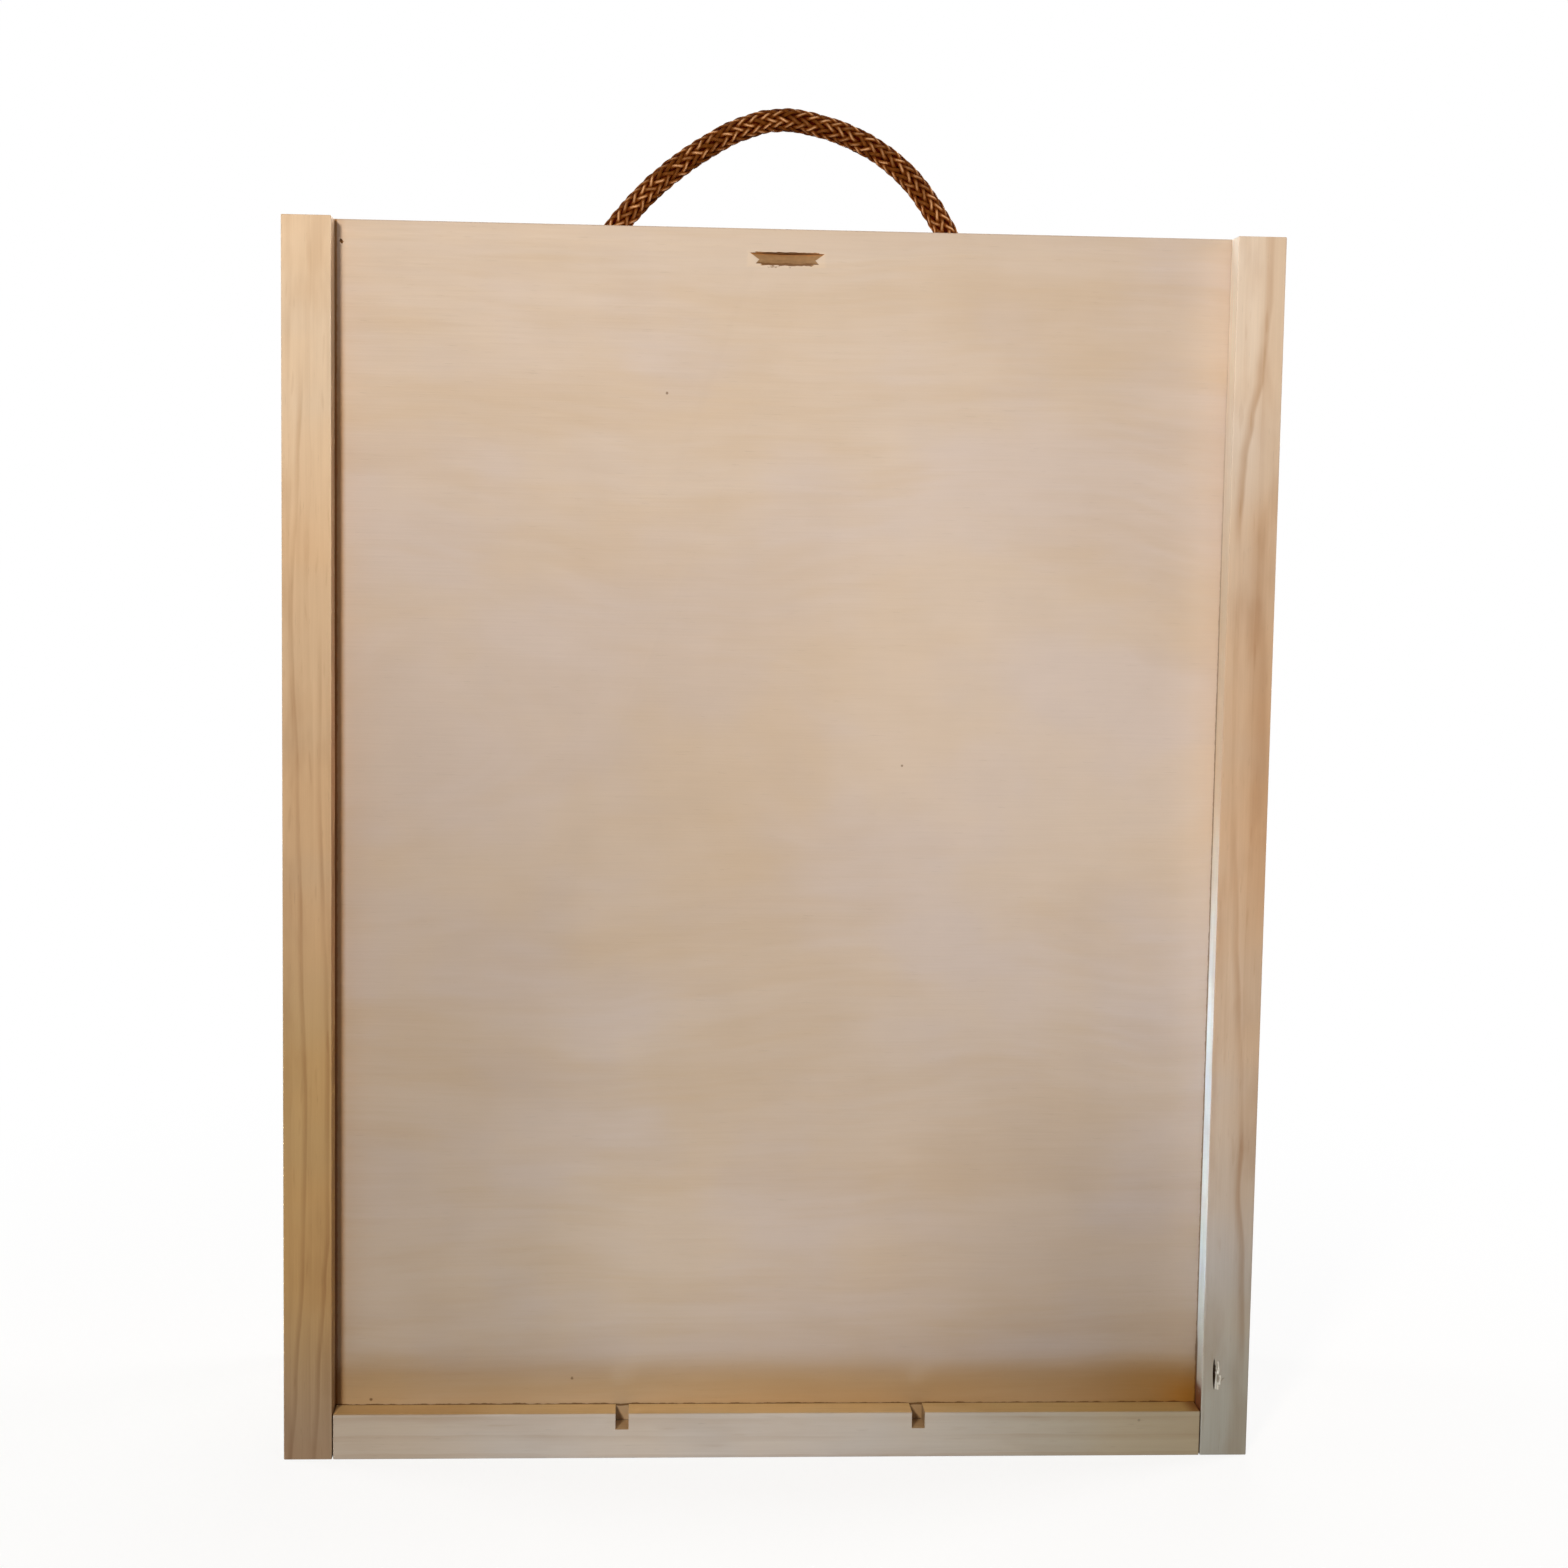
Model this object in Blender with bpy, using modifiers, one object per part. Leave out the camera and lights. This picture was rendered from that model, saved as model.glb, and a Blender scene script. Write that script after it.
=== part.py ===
"""Pine three-bottle gift box that stands upright, with a sliding lid and a rope handle.

Standalone Blender 4.5 script. Metres, +Z up. X is the width, Y the depth with the front at -Y,
and the origin is the middle of the footprint.
"""

import math

import bmesh
import bpy
from mathutils import Vector

MM = 0.001

# Outside of the box, without the handle
WIDTH = 286 * MM
HEIGHT = 360 * MM
DEPTH = 100 * MM

# Board thicknesses
SIDE_T = 14 * MM
END_T = 13.5 * MM
BACK_T = 5 * MM
LID_T = 5 * MM
DIVIDER_T = 3.2 * MM

# Fits: wood to wood at a glued or nailed joint, and the running play of what slides
JOINT_GAP = 0.3 * MM
LID_PLAY = 0.3 * MM
EASE = 0.25 * MM
EASE_STEPS = 2

# How far a cutter runs past the face that it opens
CUT_OVER = 1 * MM

# Lid groove, ploughed in both sides and the bottom end, and how far it is from the front
LID_LIP = 8.5 * MM
LID_GROOVE_DEPTH = 5.2 * MM

# Divider slots, sawn across both ends from the front edge to the back
DIVIDER_SPACING = 88 * MM
DIVIDER_SLOT_W = 3.9 * MM
DIVIDER_SLOT_DEPTH = 4.8 * MM

# Fingernail pull near the lid's top edge, sunk by the rim of a turned cutter
PULL_DROP = 6.8 * MM
PULL_HEIGHT = 3.1 * MM
PULL_WAIST_DROP = 1.9 * MM
PULL_CUTTER_R = 25 * MM
PULL_TOP_DEPTH = 2.3 * MM
PULL_WAIST_DEPTH = 1.4 * MM
PULL_FOOT_DEPTH = 1.7 * MM
PULL_STEPS = 96

# Rope: the arch runs from mouth to mouth as (x, height over the top face)
ROPE_D = 7 * MM
HANDLE_Y = 0 * MM
HANDLE_ROUTE = [
    (x * MM, rise * MM)
    for x, rise in (
        (-50.2, 3.0), (-42.7, 12.0), (-35.1, 19.3), (-26.4, 26.0), (-16.0, 32.4), (-6.1, 36.2),
        (2.0, 37.1), (10.0, 35.9), (20.1, 32.9), (30.0, 27.9), (39.3, 20.4), (46.5, 11.2), (51.3, 3.0),
    )
]
ROPE_STEP = 2 * ROPE_D
ROPE_BEVEL_STEPS = 2
DOME_DEGREES = (30, 55, 75)

# Rope holes: they stand further apart than the arch's ends, because the rope bends into them
HOLE_PLAY = 2 * MM
HOLE_D = ROPE_D + HOLE_PLAY
HOLE_OFFSET = 1.8 * MM
HOLE_CHAMFER = 1 * MM
HOLE_STEPS = 20

# Overhand knot under the top end: two turns of a loop that lifts over itself three times,
# tied to the rope's diameter as a real knot is
KNOT_LOOP_R = 1.257 * ROPE_D
KNOT_LIFT = 0.586 * ROPE_D
KNOT_LIFTS_PER_TURN = 1.5
KNOT_START_DEGREES = 20
KNOT_END_DEGREES = 60
KNOT_POINTS = 40
KNOT_BEND = 2.3 * ROPE_D
KNOT_GAP_STEP = ROPE_D / 8
KNOT_TAIL = [
    ROPE_D * Vector(point)
    for point in (
        (-1.0, -0.886, 1.171), (-1.686, -1.229, 0.714), (-1.914, -1.4, -0.143), (-1.943, -1.429, -1.143),
    )
]

# Nails through the sides into the ends, and brads through the back panel
NAIL_LENGTH = 32 * MM
NAIL_SHANK_D = 1.6 * MM
NAIL_HEAD_D = 3.2 * MM
NAILS_PER_JOINT = 3
NAIL_MARGIN = 11 * MM
BRAD_LENGTH = 20 * MM
BRAD_SHANK_D = 1.2 * MM
BRAD_HEAD_D = 2.4 * MM
BRADS_PER_SIDE = 4
BRAD_SIDE_MARGIN = 40 * MM
BRADS_PER_END = 3
BRAD_END_SPACING = 60 * MM
HEAD_T = 0.8 * MM
HEAD_SINK = 0.3 * MM
POINT_LENGTH = 3 * MM
NAIL_PLAY = 0.3 * MM
NAIL_STEPS = 10

SCREW_MERGE = 1e-5

# Places that follow from the sizes above
FRONT_Y = -DEPTH / 2
BACK_Y = DEPTH / 2
FRAME_BACK_Y = BACK_Y - BACK_T - JOINT_GAP
SIDE_INNER_X = WIDTH / 2 - SIDE_T
END_HALF_W = SIDE_INNER_X - JOINT_GAP
GROOVE_FRONT_Y = FRONT_Y + LID_LIP
GROOVE_BACK_Y = GROOVE_FRONT_Y + LID_T + 2 * LID_PLAY
LID_FRONT_Y = GROOVE_FRONT_Y + LID_PLAY
LID_HALF_W = SIDE_INNER_X + LID_GROOVE_DEPTH - LID_PLAY
LID_BOTTOM_Z = END_T - LID_GROOVE_DEPTH + LID_PLAY
TOP_END_Z = HEIGHT - END_T
HANDLE_AXIS_RISE = HANDLE_ROUTE[0][1]
HANDLE_AXIS_Z = HEIGHT + HANDLE_AXIS_RISE
HOLE_X = {"left": HANDLE_ROUTE[0][0] - HOLE_OFFSET, "right": HANDLE_ROUTE[-1][0] + HOLE_OFFSET}
ROPE_R = ROPE_D / 2

PINE_FRONT = (0.62, 0.44, 0.29)
PINE_SIDE = (0.58, 0.40, 0.25)
PINE_INSIDE = (0.66, 0.49, 0.33)
ROPE_BROWN = (0.16, 0.07, 0.025)
NAIL_STEEL = (0.35, 0.34, 0.33)


def clear_scene():
    """Removes every object that the file was opened with."""
    for obj in list(bpy.data.objects):
        bpy.data.objects.remove(obj, do_unlink=True)


def new_collection(name):
    """A collection of this name, linked to the scene."""
    made = bpy.data.collections.new(name)
    bpy.context.scene.collection.children.link(made)
    return made


def material(name, colour, roughness, metallic=0.0):
    """A Principled material of one colour."""
    made = bpy.data.materials.new(name)
    made.use_nodes = True
    shader = made.node_tree.nodes["Principled BSDF"]
    shader.inputs["Base Color"].default_value = (*colour, 1)
    shader.inputs["Roughness"].default_value = roughness
    shader.inputs["Metallic"].default_value = metallic
    made.diffuse_color = (*colour, 1)
    return made


def box_mesh(name, low, high):
    """A box between two corners as a mesh whose origin is its centre, and that centre."""
    size = Vector(high) - Vector(low)
    shape = bmesh.new()
    bmesh.ops.create_cube(shape, size=1)
    bmesh.ops.scale(shape, vec=size, verts=shape.verts)
    mesh = bpy.data.meshes.new(name)
    shape.to_mesh(mesh)
    shape.free()
    return mesh, (Vector(low) + Vector(high)) / 2


def board(name, low, high, colour, roughness=0.7):
    """A planed board between two corners, with its edges eased."""
    mesh, centre = box_mesh(name, low, high)
    made = bpy.data.objects.new(name, mesh)
    made.location = centre
    PARTS.objects.link(made)
    mesh.materials.append(material(name + "_wood", colour, roughness))
    ease = made.modifiers.new("eased edges", "BEVEL")
    ease.width = EASE
    ease.segments = EASE_STEPS
    return made


def cutter_group(name):
    """A collection of cutters that one Boolean takes together."""
    made = bpy.data.collections.new(name)
    CUTTERS.children.link(made)
    return made


def as_cutter(obj, group):
    """Puts an object among the cutters, out of the render."""
    obj.hide_render = True
    obj.display_type = "WIRE"
    group.objects.link(obj)
    return obj


def box_cutter(name, low, high, group):
    """A square-edged cutter between two corners."""
    mesh, centre = box_mesh(name, low, high)
    made = bpy.data.objects.new(name, mesh)
    made.location = centre
    return as_cutter(made, group)


def turned(name, profile, steps):
    """A solid of revolution about Z from a profile of (radius, z) that runs from the top down."""
    shape = bmesh.new()
    points = [shape.verts.new((radius, 0, z)) for radius, z in profile]
    for upper, lower in zip(points, points[1:]):
        shape.edges.new((upper, lower))
    mesh = bpy.data.meshes.new(name)
    shape.to_mesh(mesh)
    shape.free()
    made = bpy.data.objects.new(name, mesh)
    spin = made.modifiers.new("turned", "SCREW")
    spin.axis = "Z"
    spin.steps = steps
    spin.render_steps = steps
    spin.use_merge_vertices = True
    spin.merge_threshold = SCREW_MERGE
    return made


def cut(target, group):
    """Takes every cutter of a group out of a board."""
    taken = target.modifiers.new("cut " + group.name, "BOOLEAN")
    taken.operation = "DIFFERENCE"
    taken.operand_type = "COLLECTION"
    taken.collection = group
    taken.solver = "EXACT"


def lid_grooves():
    """The cutters of the groove that the lid runs in: those of the sides, and the one of the bottom end."""
    sides, bottom = cutter_group("lid_groove_sides"), cutter_group("lid_groove_bottom")
    floor_z = END_T - LID_GROOVE_DEPTH
    for name, sign in (("left", -1), ("right", 1)):
        low_x, high_x = sorted((sign * (SIDE_INNER_X - CUT_OVER), sign * (SIDE_INNER_X + LID_GROOVE_DEPTH)))
        box_cutter(
            f"lid_groove_{name}",
            (low_x, GROOVE_FRONT_Y, floor_z),
            (high_x, GROOVE_BACK_Y, HEIGHT + CUT_OVER),
            sides,
        )
    reach_x = END_HALF_W + CUT_OVER
    box_cutter(
        "lid_groove_bottom_end",
        (-reach_x, GROOVE_FRONT_Y, floor_z),
        (reach_x, GROOVE_BACK_Y, END_T + CUT_OVER),
        bottom,
    )
    return sides, bottom


def divider_slots():
    """The cutters of the divider slots, open at the front and the back of both ends."""
    group = cutter_group("divider_slots")
    for name, sign in (("left", -1), ("right", 1)):
        x = sign * DIVIDER_SPACING / 2
        for end, low_z, high_z in (
            ("bottom", END_T - DIVIDER_SLOT_DEPTH, END_T + CUT_OVER),
            ("top", TOP_END_Z - CUT_OVER, TOP_END_Z + DIVIDER_SLOT_DEPTH),
        ):
            box_cutter(
                f"divider_slot_{name}_{end}",
                (x - DIVIDER_SLOT_W / 2, FRONT_Y - CUT_OVER, low_z),
                (x + DIVIDER_SLOT_W / 2, FRAME_BACK_Y + CUT_OVER, high_z),
                group,
            )
    return group


def nail_profile(length, shank_d, head_d, play=0.0, overshoot=0.0):
    """The half outline of a nail, head at the top, swollen by the play for the hole that takes it."""
    head_r, shank_r = head_d / 2 + play, shank_d / 2 + play
    under_head = -HEAD_T - play
    return [
        (0, overshoot),
        (head_r, overshoot),
        (head_r, under_head),
        (shank_r, under_head),
        (shank_r, POINT_LENGTH - length),
        (0, -length - play),
    ]


def drive_nails(kind, seats, length, shank_d, head_d, outward):
    """Nails at these seats (name, head centre on the surface), and the cutters of their holes."""
    group = cutter_group(kind + "_holes")
    steel = material(kind + "_steel", NAIL_STEEL, 0.45, 1.0)
    for name, seat in seats:
        turn = Vector((0, 0, 1)).rotation_difference(outward(seat))
        place = seat - outward(seat) * HEAD_SINK
        nail = turned(name, nail_profile(length, shank_d, head_d), NAIL_STEPS)
        hole = turned(
            name + "_hole",
            nail_profile(length, shank_d, head_d, NAIL_PLAY, HEAD_SINK + CUT_OVER),
            NAIL_STEPS,
        )
        for made in (nail, hole):
            made.rotation_euler = turn.to_euler()
            made.location = place
        nail.data.materials.append(steel)
        PARTS.objects.link(nail)
        as_cutter(hole, group)
    return group


def corner_nails():
    """Three nails through the side at each corner, into the end grain of the top and bottom."""
    first_y = GROOVE_BACK_Y + NAIL_MARGIN
    pitch = (FRAME_BACK_Y - NAIL_MARGIN - first_y) / (NAILS_PER_JOINT - 1)
    seats = []
    for side, sign in (("left", -1), ("right", 1)):
        for end, z in (("bottom", END_T / 2), ("top", HEIGHT - END_T / 2)):
            for count in range(NAILS_PER_JOINT):
                seat = Vector((sign * WIDTH / 2, first_y + count * pitch, z))
                seats.append((f"corner_nail_{end}_{side}_{count + 1}", seat))
    return drive_nails(
        "corner_nail", seats, NAIL_LENGTH, NAIL_SHANK_D, NAIL_HEAD_D,
        lambda seat: Vector((math.copysign(1, seat.x), 0, 0)),
    )


def back_brads():
    """Brads round the back panel, into the back edges of the sides and the ends."""
    seats = []
    pitch = (HEIGHT - 2 * BRAD_SIDE_MARGIN) / (BRADS_PER_SIDE - 1)
    for side, sign in (("left", -1), ("right", 1)):
        for count in range(BRADS_PER_SIDE):
            seat = Vector((sign * (WIDTH - SIDE_T) / 2, BACK_Y, BRAD_SIDE_MARGIN + count * pitch))
            seats.append((f"back_brad_{side}_{count + 1}", seat))
    for end, z in (("bottom", END_T / 2), ("top", HEIGHT - END_T / 2)):
        for count in range(BRADS_PER_END):
            x = (count - (BRADS_PER_END - 1) / 2) * BRAD_END_SPACING
            seats.append((f"back_brad_{end}_{count + 1}", Vector((x, BACK_Y, z))))
    return drive_nails(
        "back_brad", seats, BRAD_LENGTH, BRAD_SHANK_D, BRAD_HEAD_D, lambda seat: Vector((0, 1, 0))
    )


def rope_holes():
    """The drilled holes of the handle, with a worn chamfer at both mouths."""
    group = cutter_group("rope_holes")
    hole_r = HOLE_D / 2
    flare_r = hole_r + HOLE_CHAMFER + CUT_OVER
    top, under = END_T + CUT_OVER, -CUT_OVER
    profile = [
        (0, top),
        (flare_r, top),
        (hole_r, END_T - HOLE_CHAMFER),
        (hole_r, HOLE_CHAMFER),
        (flare_r, under),
        (0, under),
    ]
    for side, x in HOLE_X.items():
        hole = turned(f"rope_hole_{side}", profile, HOLE_STEPS)
        hole.location = (x, HANDLE_Y, TOP_END_Z)
        as_cutter(hole, group)
    return group


def box_boards():
    """The carcass: two sides, two ends and the back panel, nailed together."""
    side_grooves, bottom_groove = lid_grooves()
    slots, holes = divider_slots(), rope_holes()
    nails, brads = corner_nails(), back_brads()
    for name, sign in (("left_side", -1), ("right_side", 1)):
        inner, outer = sorted((sign * SIDE_INNER_X, sign * WIDTH / 2))
        side = board(name, (inner, FRONT_Y, 0), (outer, FRAME_BACK_Y, HEIGHT), PINE_SIDE)
        for group in (side_grooves, nails, brads):
            cut(side, group)
    bottom = board("bottom_end", (-END_HALF_W, FRONT_Y, 0), (END_HALF_W, FRAME_BACK_Y, END_T), PINE_FRONT)
    for group in (bottom_groove, slots, nails, brads):
        cut(bottom, group)
    top = board(
        "top_end", (-END_HALF_W, GROOVE_BACK_Y, TOP_END_Z), (END_HALF_W, FRAME_BACK_Y, HEIGHT), PINE_FRONT
    )
    for group in (slots, holes, nails, brads):
        cut(top, group)
    back = board("back_panel", (-WIDTH / 2, BACK_Y - BACK_T, 0), (WIDTH / 2, BACK_Y, HEIGHT), PINE_INSIDE)
    cut(back, brads)


def dividers():
    """Two thin slats that slide in from the front, in the slots of both ends."""
    reach = DIVIDER_SLOT_DEPTH - JOINT_GAP
    for name, sign in (("divider_left", -1), ("divider_right", 1)):
        x = sign * DIVIDER_SPACING / 2
        board(
            name,
            (x - DIVIDER_T / 2, GROOVE_BACK_Y + JOINT_GAP, END_T - reach),
            (x + DIVIDER_T / 2, FRAME_BACK_Y, TOP_END_Z + reach),
            PINE_INSIDE,
        )


def sliding_lid():
    """The lid panel, flush with the box's top, with the fingernail pull in its front face."""
    lid = board(
        "sliding_lid",
        (-LID_HALF_W, LID_FRONT_Y, LID_BOTTOM_Z),
        (LID_HALF_W, LID_FRONT_Y + LID_T, HEIGHT),
        PINE_FRONT,
    )
    middle_y = LID_FRONT_Y - PULL_CUTTER_R
    profile = [
        (0, 0),
        (PULL_CUTTER_R + PULL_TOP_DEPTH, 0),
        (PULL_CUTTER_R + PULL_WAIST_DEPTH, -PULL_WAIST_DROP),
        (PULL_CUTTER_R + PULL_FOOT_DEPTH, -PULL_HEIGHT),
        (0, -PULL_HEIGHT),
    ]
    group = cutter_group("pull")
    rim = turned("pull_cutter", profile, PULL_STEPS)
    rim.location = (0, middle_y, HEIGHT - PULL_DROP)
    as_cutter(rim, group)
    cut(lid, group)


def smooth_points(route, step):
    """Points about one step apart on a smooth curve through the route's own points."""
    padded = [2 * route[0] - route[1], *route, 2 * route[-1] - route[-2]]
    points = []
    for before, start, end, after in zip(padded, padded[1:], padded[2:], padded[3:]):
        parts = max(1, round((end - start).length / step))
        for part in range(parts):
            t = part / parts
            points.append(
                start
                + (end - before) * (t / 2)
                + (2 * before - 5 * start + 4 * end - after) * (t**2 / 2)
                + (3 * start - before - 3 * end + after) * (t**3 / 2)
            )
    return [*points, route[-1]]


def rope_tube(name, points, radii, colour):
    """A rope as a round tube along these points."""
    curve = bpy.data.curves.new(name, "CURVE")
    curve.dimensions = "3D"
    curve.bevel_depth = ROPE_R
    curve.bevel_resolution = ROPE_BEVEL_STEPS
    curve.use_fill_caps = True
    spline = curve.splines.new("POLY")
    spline.points.add(len(points) - 1)
    for target, point, radius in zip(spline.points, points, radii):
        target.co = (*point, 1)
        target.radius = radius
    spline.use_smooth = True
    curve.materials.append(material(name + "_fibre", colour, 0.6))
    made = bpy.data.objects.new(name, curve)
    PARTS.objects.link(made)
    return made


def with_domes(points):
    """The points with a rounded end added at both, and the radius at each as a share of the rope's."""
    angles = [math.radians(degrees) for degrees in DOME_DEGREES]
    first, last = (points[0] - points[1]).normalized(), (points[-1] - points[-2]).normalized()
    head = [points[0] + first * (ROPE_R * math.sin(angle)) for angle in reversed(angles)]
    tail = [points[-1] + last * (ROPE_R * math.sin(angle)) for angle in angles]
    shrink = [math.cos(angle) for angle in angles]
    return [*head, *points, *tail], [*reversed(shrink), *[1.0] * len(points), *shrink]


def rope_handle():
    """The arch of rope, which tips to the front and the back about the line through the hole mouths."""
    axis = bpy.data.objects.new("handle_axis", None)
    axis.location = (0, HANDLE_Y, HANDLE_AXIS_Z)
    PARTS.objects.link(axis)
    route = [Vector((x, 0, rise - HANDLE_AXIS_RISE)) for x, rise in HANDLE_ROUTE]
    points, radii = with_domes(smooth_points(route, ROPE_STEP))
    arch = rope_tube("rope_handle", points, radii, ROPE_BROWN)
    arch.parent = axis


def knot_points():
    """The overhand knot's centreline, from straight above its near side to the end of its tail.

    The near side, where the rope comes down from the hole, is at x = 0 and z = 0.
    """
    start, end = math.radians(KNOT_START_DEGREES), 4 * math.pi - math.radians(KNOT_END_DEGREES)
    middle = Vector((KNOT_LOOP_R + KNOT_LIFT * math.cos(KNOT_LIFTS_PER_TURN * start), 0, 0))
    points = []
    for count in range(KNOT_POINTS + 1):
        travel = start + (end - start) * count / KNOT_POINTS
        turn = math.pi + travel - start
        lift = KNOT_LIFTS_PER_TURN * travel
        radius = KNOT_LOOP_R + KNOT_LIFT * math.cos(lift)
        points.append(
            middle + Vector((radius * math.cos(turn), KNOT_LIFT * math.sin(lift), radius * math.sin(turn)))
        )
    return [*points, *[middle + point for point in KNOT_TAIL]]


def least_gap(route):
    """The least gap between two stretches of a rope that lie more than a bend apart along it."""
    points = smooth_points(route, KNOT_GAP_STEP)
    travel = [0.0]
    for one, other in zip(points, points[1:]):
        travel.append(travel[-1] + (other - one).length)
    return min(
        (one - other).length - ROPE_D
        for count, one in enumerate(points)
        for earlier, other in enumerate(points[:count])
        if travel[count] - travel[earlier] > KNOT_BEND
    )


def rope_ends():
    """The rope inside the box: through each hole, then an overhand knot that can't pull back through."""
    knot = knot_points()
    knot_top = max(point.z for point in knot) + ROPE_R
    knot_z = TOP_END_Z - JOINT_GAP - knot_top
    tail_top = HANDLE_AXIS_Z - ROPE_R - JOINT_GAP
    for side, x in HOLE_X.items():
        outward = math.copysign(1, x)
        lead = [Vector((0, 0, tail_top - knot_z)), Vector((0, 0, TOP_END_Z - knot_z))]
        route = [
            Vector((x + outward * point.x, HANDLE_Y + point.y, knot_z + point.z)) for point in [*lead, *knot]
        ]
        points = smooth_points(route, ROPE_D)
        rope_tube(f"rope_knot_{side}", points, [1.0] * len(points), ROPE_BROWN)
        print(f"rope_knot_{side}: least gap to itself {least_gap(route) / MM:.2f} mm")


clear_scene()
PARTS = new_collection("bottle_gift_box")
CUTTERS = new_collection("cutters")
box_boards()
dividers()
sliding_lid()
rope_handle()
rope_ends()
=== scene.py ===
"""Looks of the pine three-bottle gift box with a sliding lid and a braided rope handle.

Blender 4.5 script. Metres, +Z up, front at -Y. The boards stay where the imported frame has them, and
the rope follows the same route as its solids.
"""

from __future__ import annotations

import logging
import math
from collections.abc import Mapping, Sequence
from dataclasses import dataclass, field
from enum import Enum
from typing import Union

import bmesh
import bpy
import numpy as np
from mathutils import Color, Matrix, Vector


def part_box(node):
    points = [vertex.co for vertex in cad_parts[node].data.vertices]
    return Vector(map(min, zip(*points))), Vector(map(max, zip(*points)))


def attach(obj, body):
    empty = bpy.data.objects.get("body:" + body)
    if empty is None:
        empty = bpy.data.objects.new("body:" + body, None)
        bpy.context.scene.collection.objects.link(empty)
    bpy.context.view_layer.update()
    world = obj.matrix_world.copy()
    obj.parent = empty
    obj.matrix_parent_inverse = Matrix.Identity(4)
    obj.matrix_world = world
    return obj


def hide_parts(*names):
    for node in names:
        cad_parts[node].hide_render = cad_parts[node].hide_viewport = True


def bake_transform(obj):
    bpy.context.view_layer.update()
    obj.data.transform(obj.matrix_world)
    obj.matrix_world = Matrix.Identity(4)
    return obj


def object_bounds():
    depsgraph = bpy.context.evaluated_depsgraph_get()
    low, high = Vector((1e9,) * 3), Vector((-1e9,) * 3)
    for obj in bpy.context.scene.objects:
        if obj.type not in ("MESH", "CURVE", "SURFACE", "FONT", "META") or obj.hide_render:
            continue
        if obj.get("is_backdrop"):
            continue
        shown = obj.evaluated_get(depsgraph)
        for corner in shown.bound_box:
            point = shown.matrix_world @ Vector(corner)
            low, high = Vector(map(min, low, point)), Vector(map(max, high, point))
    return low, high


LOG = logging.getLogger("bottle_box")
MM = 0.001

# How far the thumb pull's edges are below the lid's top
PULL_TOP = 6.8 * MM
PULL_FOOT = 9.9 * MM

# How far behind their fronts the painted fades of light and shade on the sides die out
SIDE_PAINTED_FADE = 40 * MM

Colour = tuple[float, float, float]
Point = tuple[float, float, float]
Box = tuple[Sequence[float], Sequence[float]]
Term = Union["Value", float]


def paint(red: int, green: int, blue: int) -> Colour:
    """Gives the linear colour of an 8-bit screen colour."""
    return tuple(Color((red / 255, green / 255, blue / 255)).from_srgb_to_scene_linear())


class Value:
    """A shader socket that takes part in Python expressions."""

    def __init__(self, shader: Shader, socket: bpy.types.NodeSocket) -> None:
        """Keeps the socket and the shader that it belongs to."""
        self.shader = shader
        self.socket = socket

    def math(self, operation: str, *terms: Term) -> Value:
        """Adds one Math node on these terms."""
        return self.shader.node("ShaderNodeMath", {"operation": operation}, dict(enumerate(terms)))

    def __add__(self, other: Term) -> Value:
        """Adds."""
        return self.math("ADD", self, other)

    def __sub__(self, other: Term) -> Value:
        """Subtracts."""
        return self.math("SUBTRACT", self, other)

    def __rsub__(self, other: Term) -> Value:
        """Subtracts this from a number."""
        return self.math("SUBTRACT", other, self)

    def __mul__(self, other: Term) -> Value:
        """Multiplies."""
        return self.math("MULTIPLY", self, other)

    def __truediv__(self, other: Term) -> Value:
        """Divides."""
        return self.math("DIVIDE", self, other)

    def __rtruediv__(self, other: Term) -> Value:
        """Divides a number by this."""
        return self.math("DIVIDE", other, self)

    def __pow__(self, other: Term) -> Value:
        """Raises to a power."""
        return self.math("POWER", self, other)

    def __rpow__(self, other: Term) -> Value:
        """Raises a number to this power."""
        return self.math("POWER", other, self)

    __radd__ = __add__
    __rmul__ = __mul__

    def fraction(self) -> Value:
        """Keeps the part after the decimal point."""
        return self.math("FRACT", self)

    def whole(self) -> Value:
        """Drops the part after the decimal point."""
        return self.math("FLOOR", self)

    def least(self, other: Term) -> Value:
        """Takes the smaller of the two."""
        return self.math("MINIMUM", self, other)

    def most(self, other: Term) -> Value:
        """Takes the larger of the two."""
        return self.math("MAXIMUM", self, other)

    def sine(self) -> Value:
        """Takes the sine."""
        return self.math("SINE", self)

    def rise(self, low: float, high: float) -> Value:
        """Goes smoothly from 0 at low to 1 at high, which may be the smaller of the two.

        Args:
            low: where the step starts.
            high: where the step ends.

        Returns:
            The step, held at 0 and 1 outside it.
        """
        sockets = {"Value": self, "From Min": low, "From Max": high}
        return self.shader.node("ShaderNodeMapRange", {"interpolation_type": "SMOOTHSTEP"}, sockets)


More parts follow.
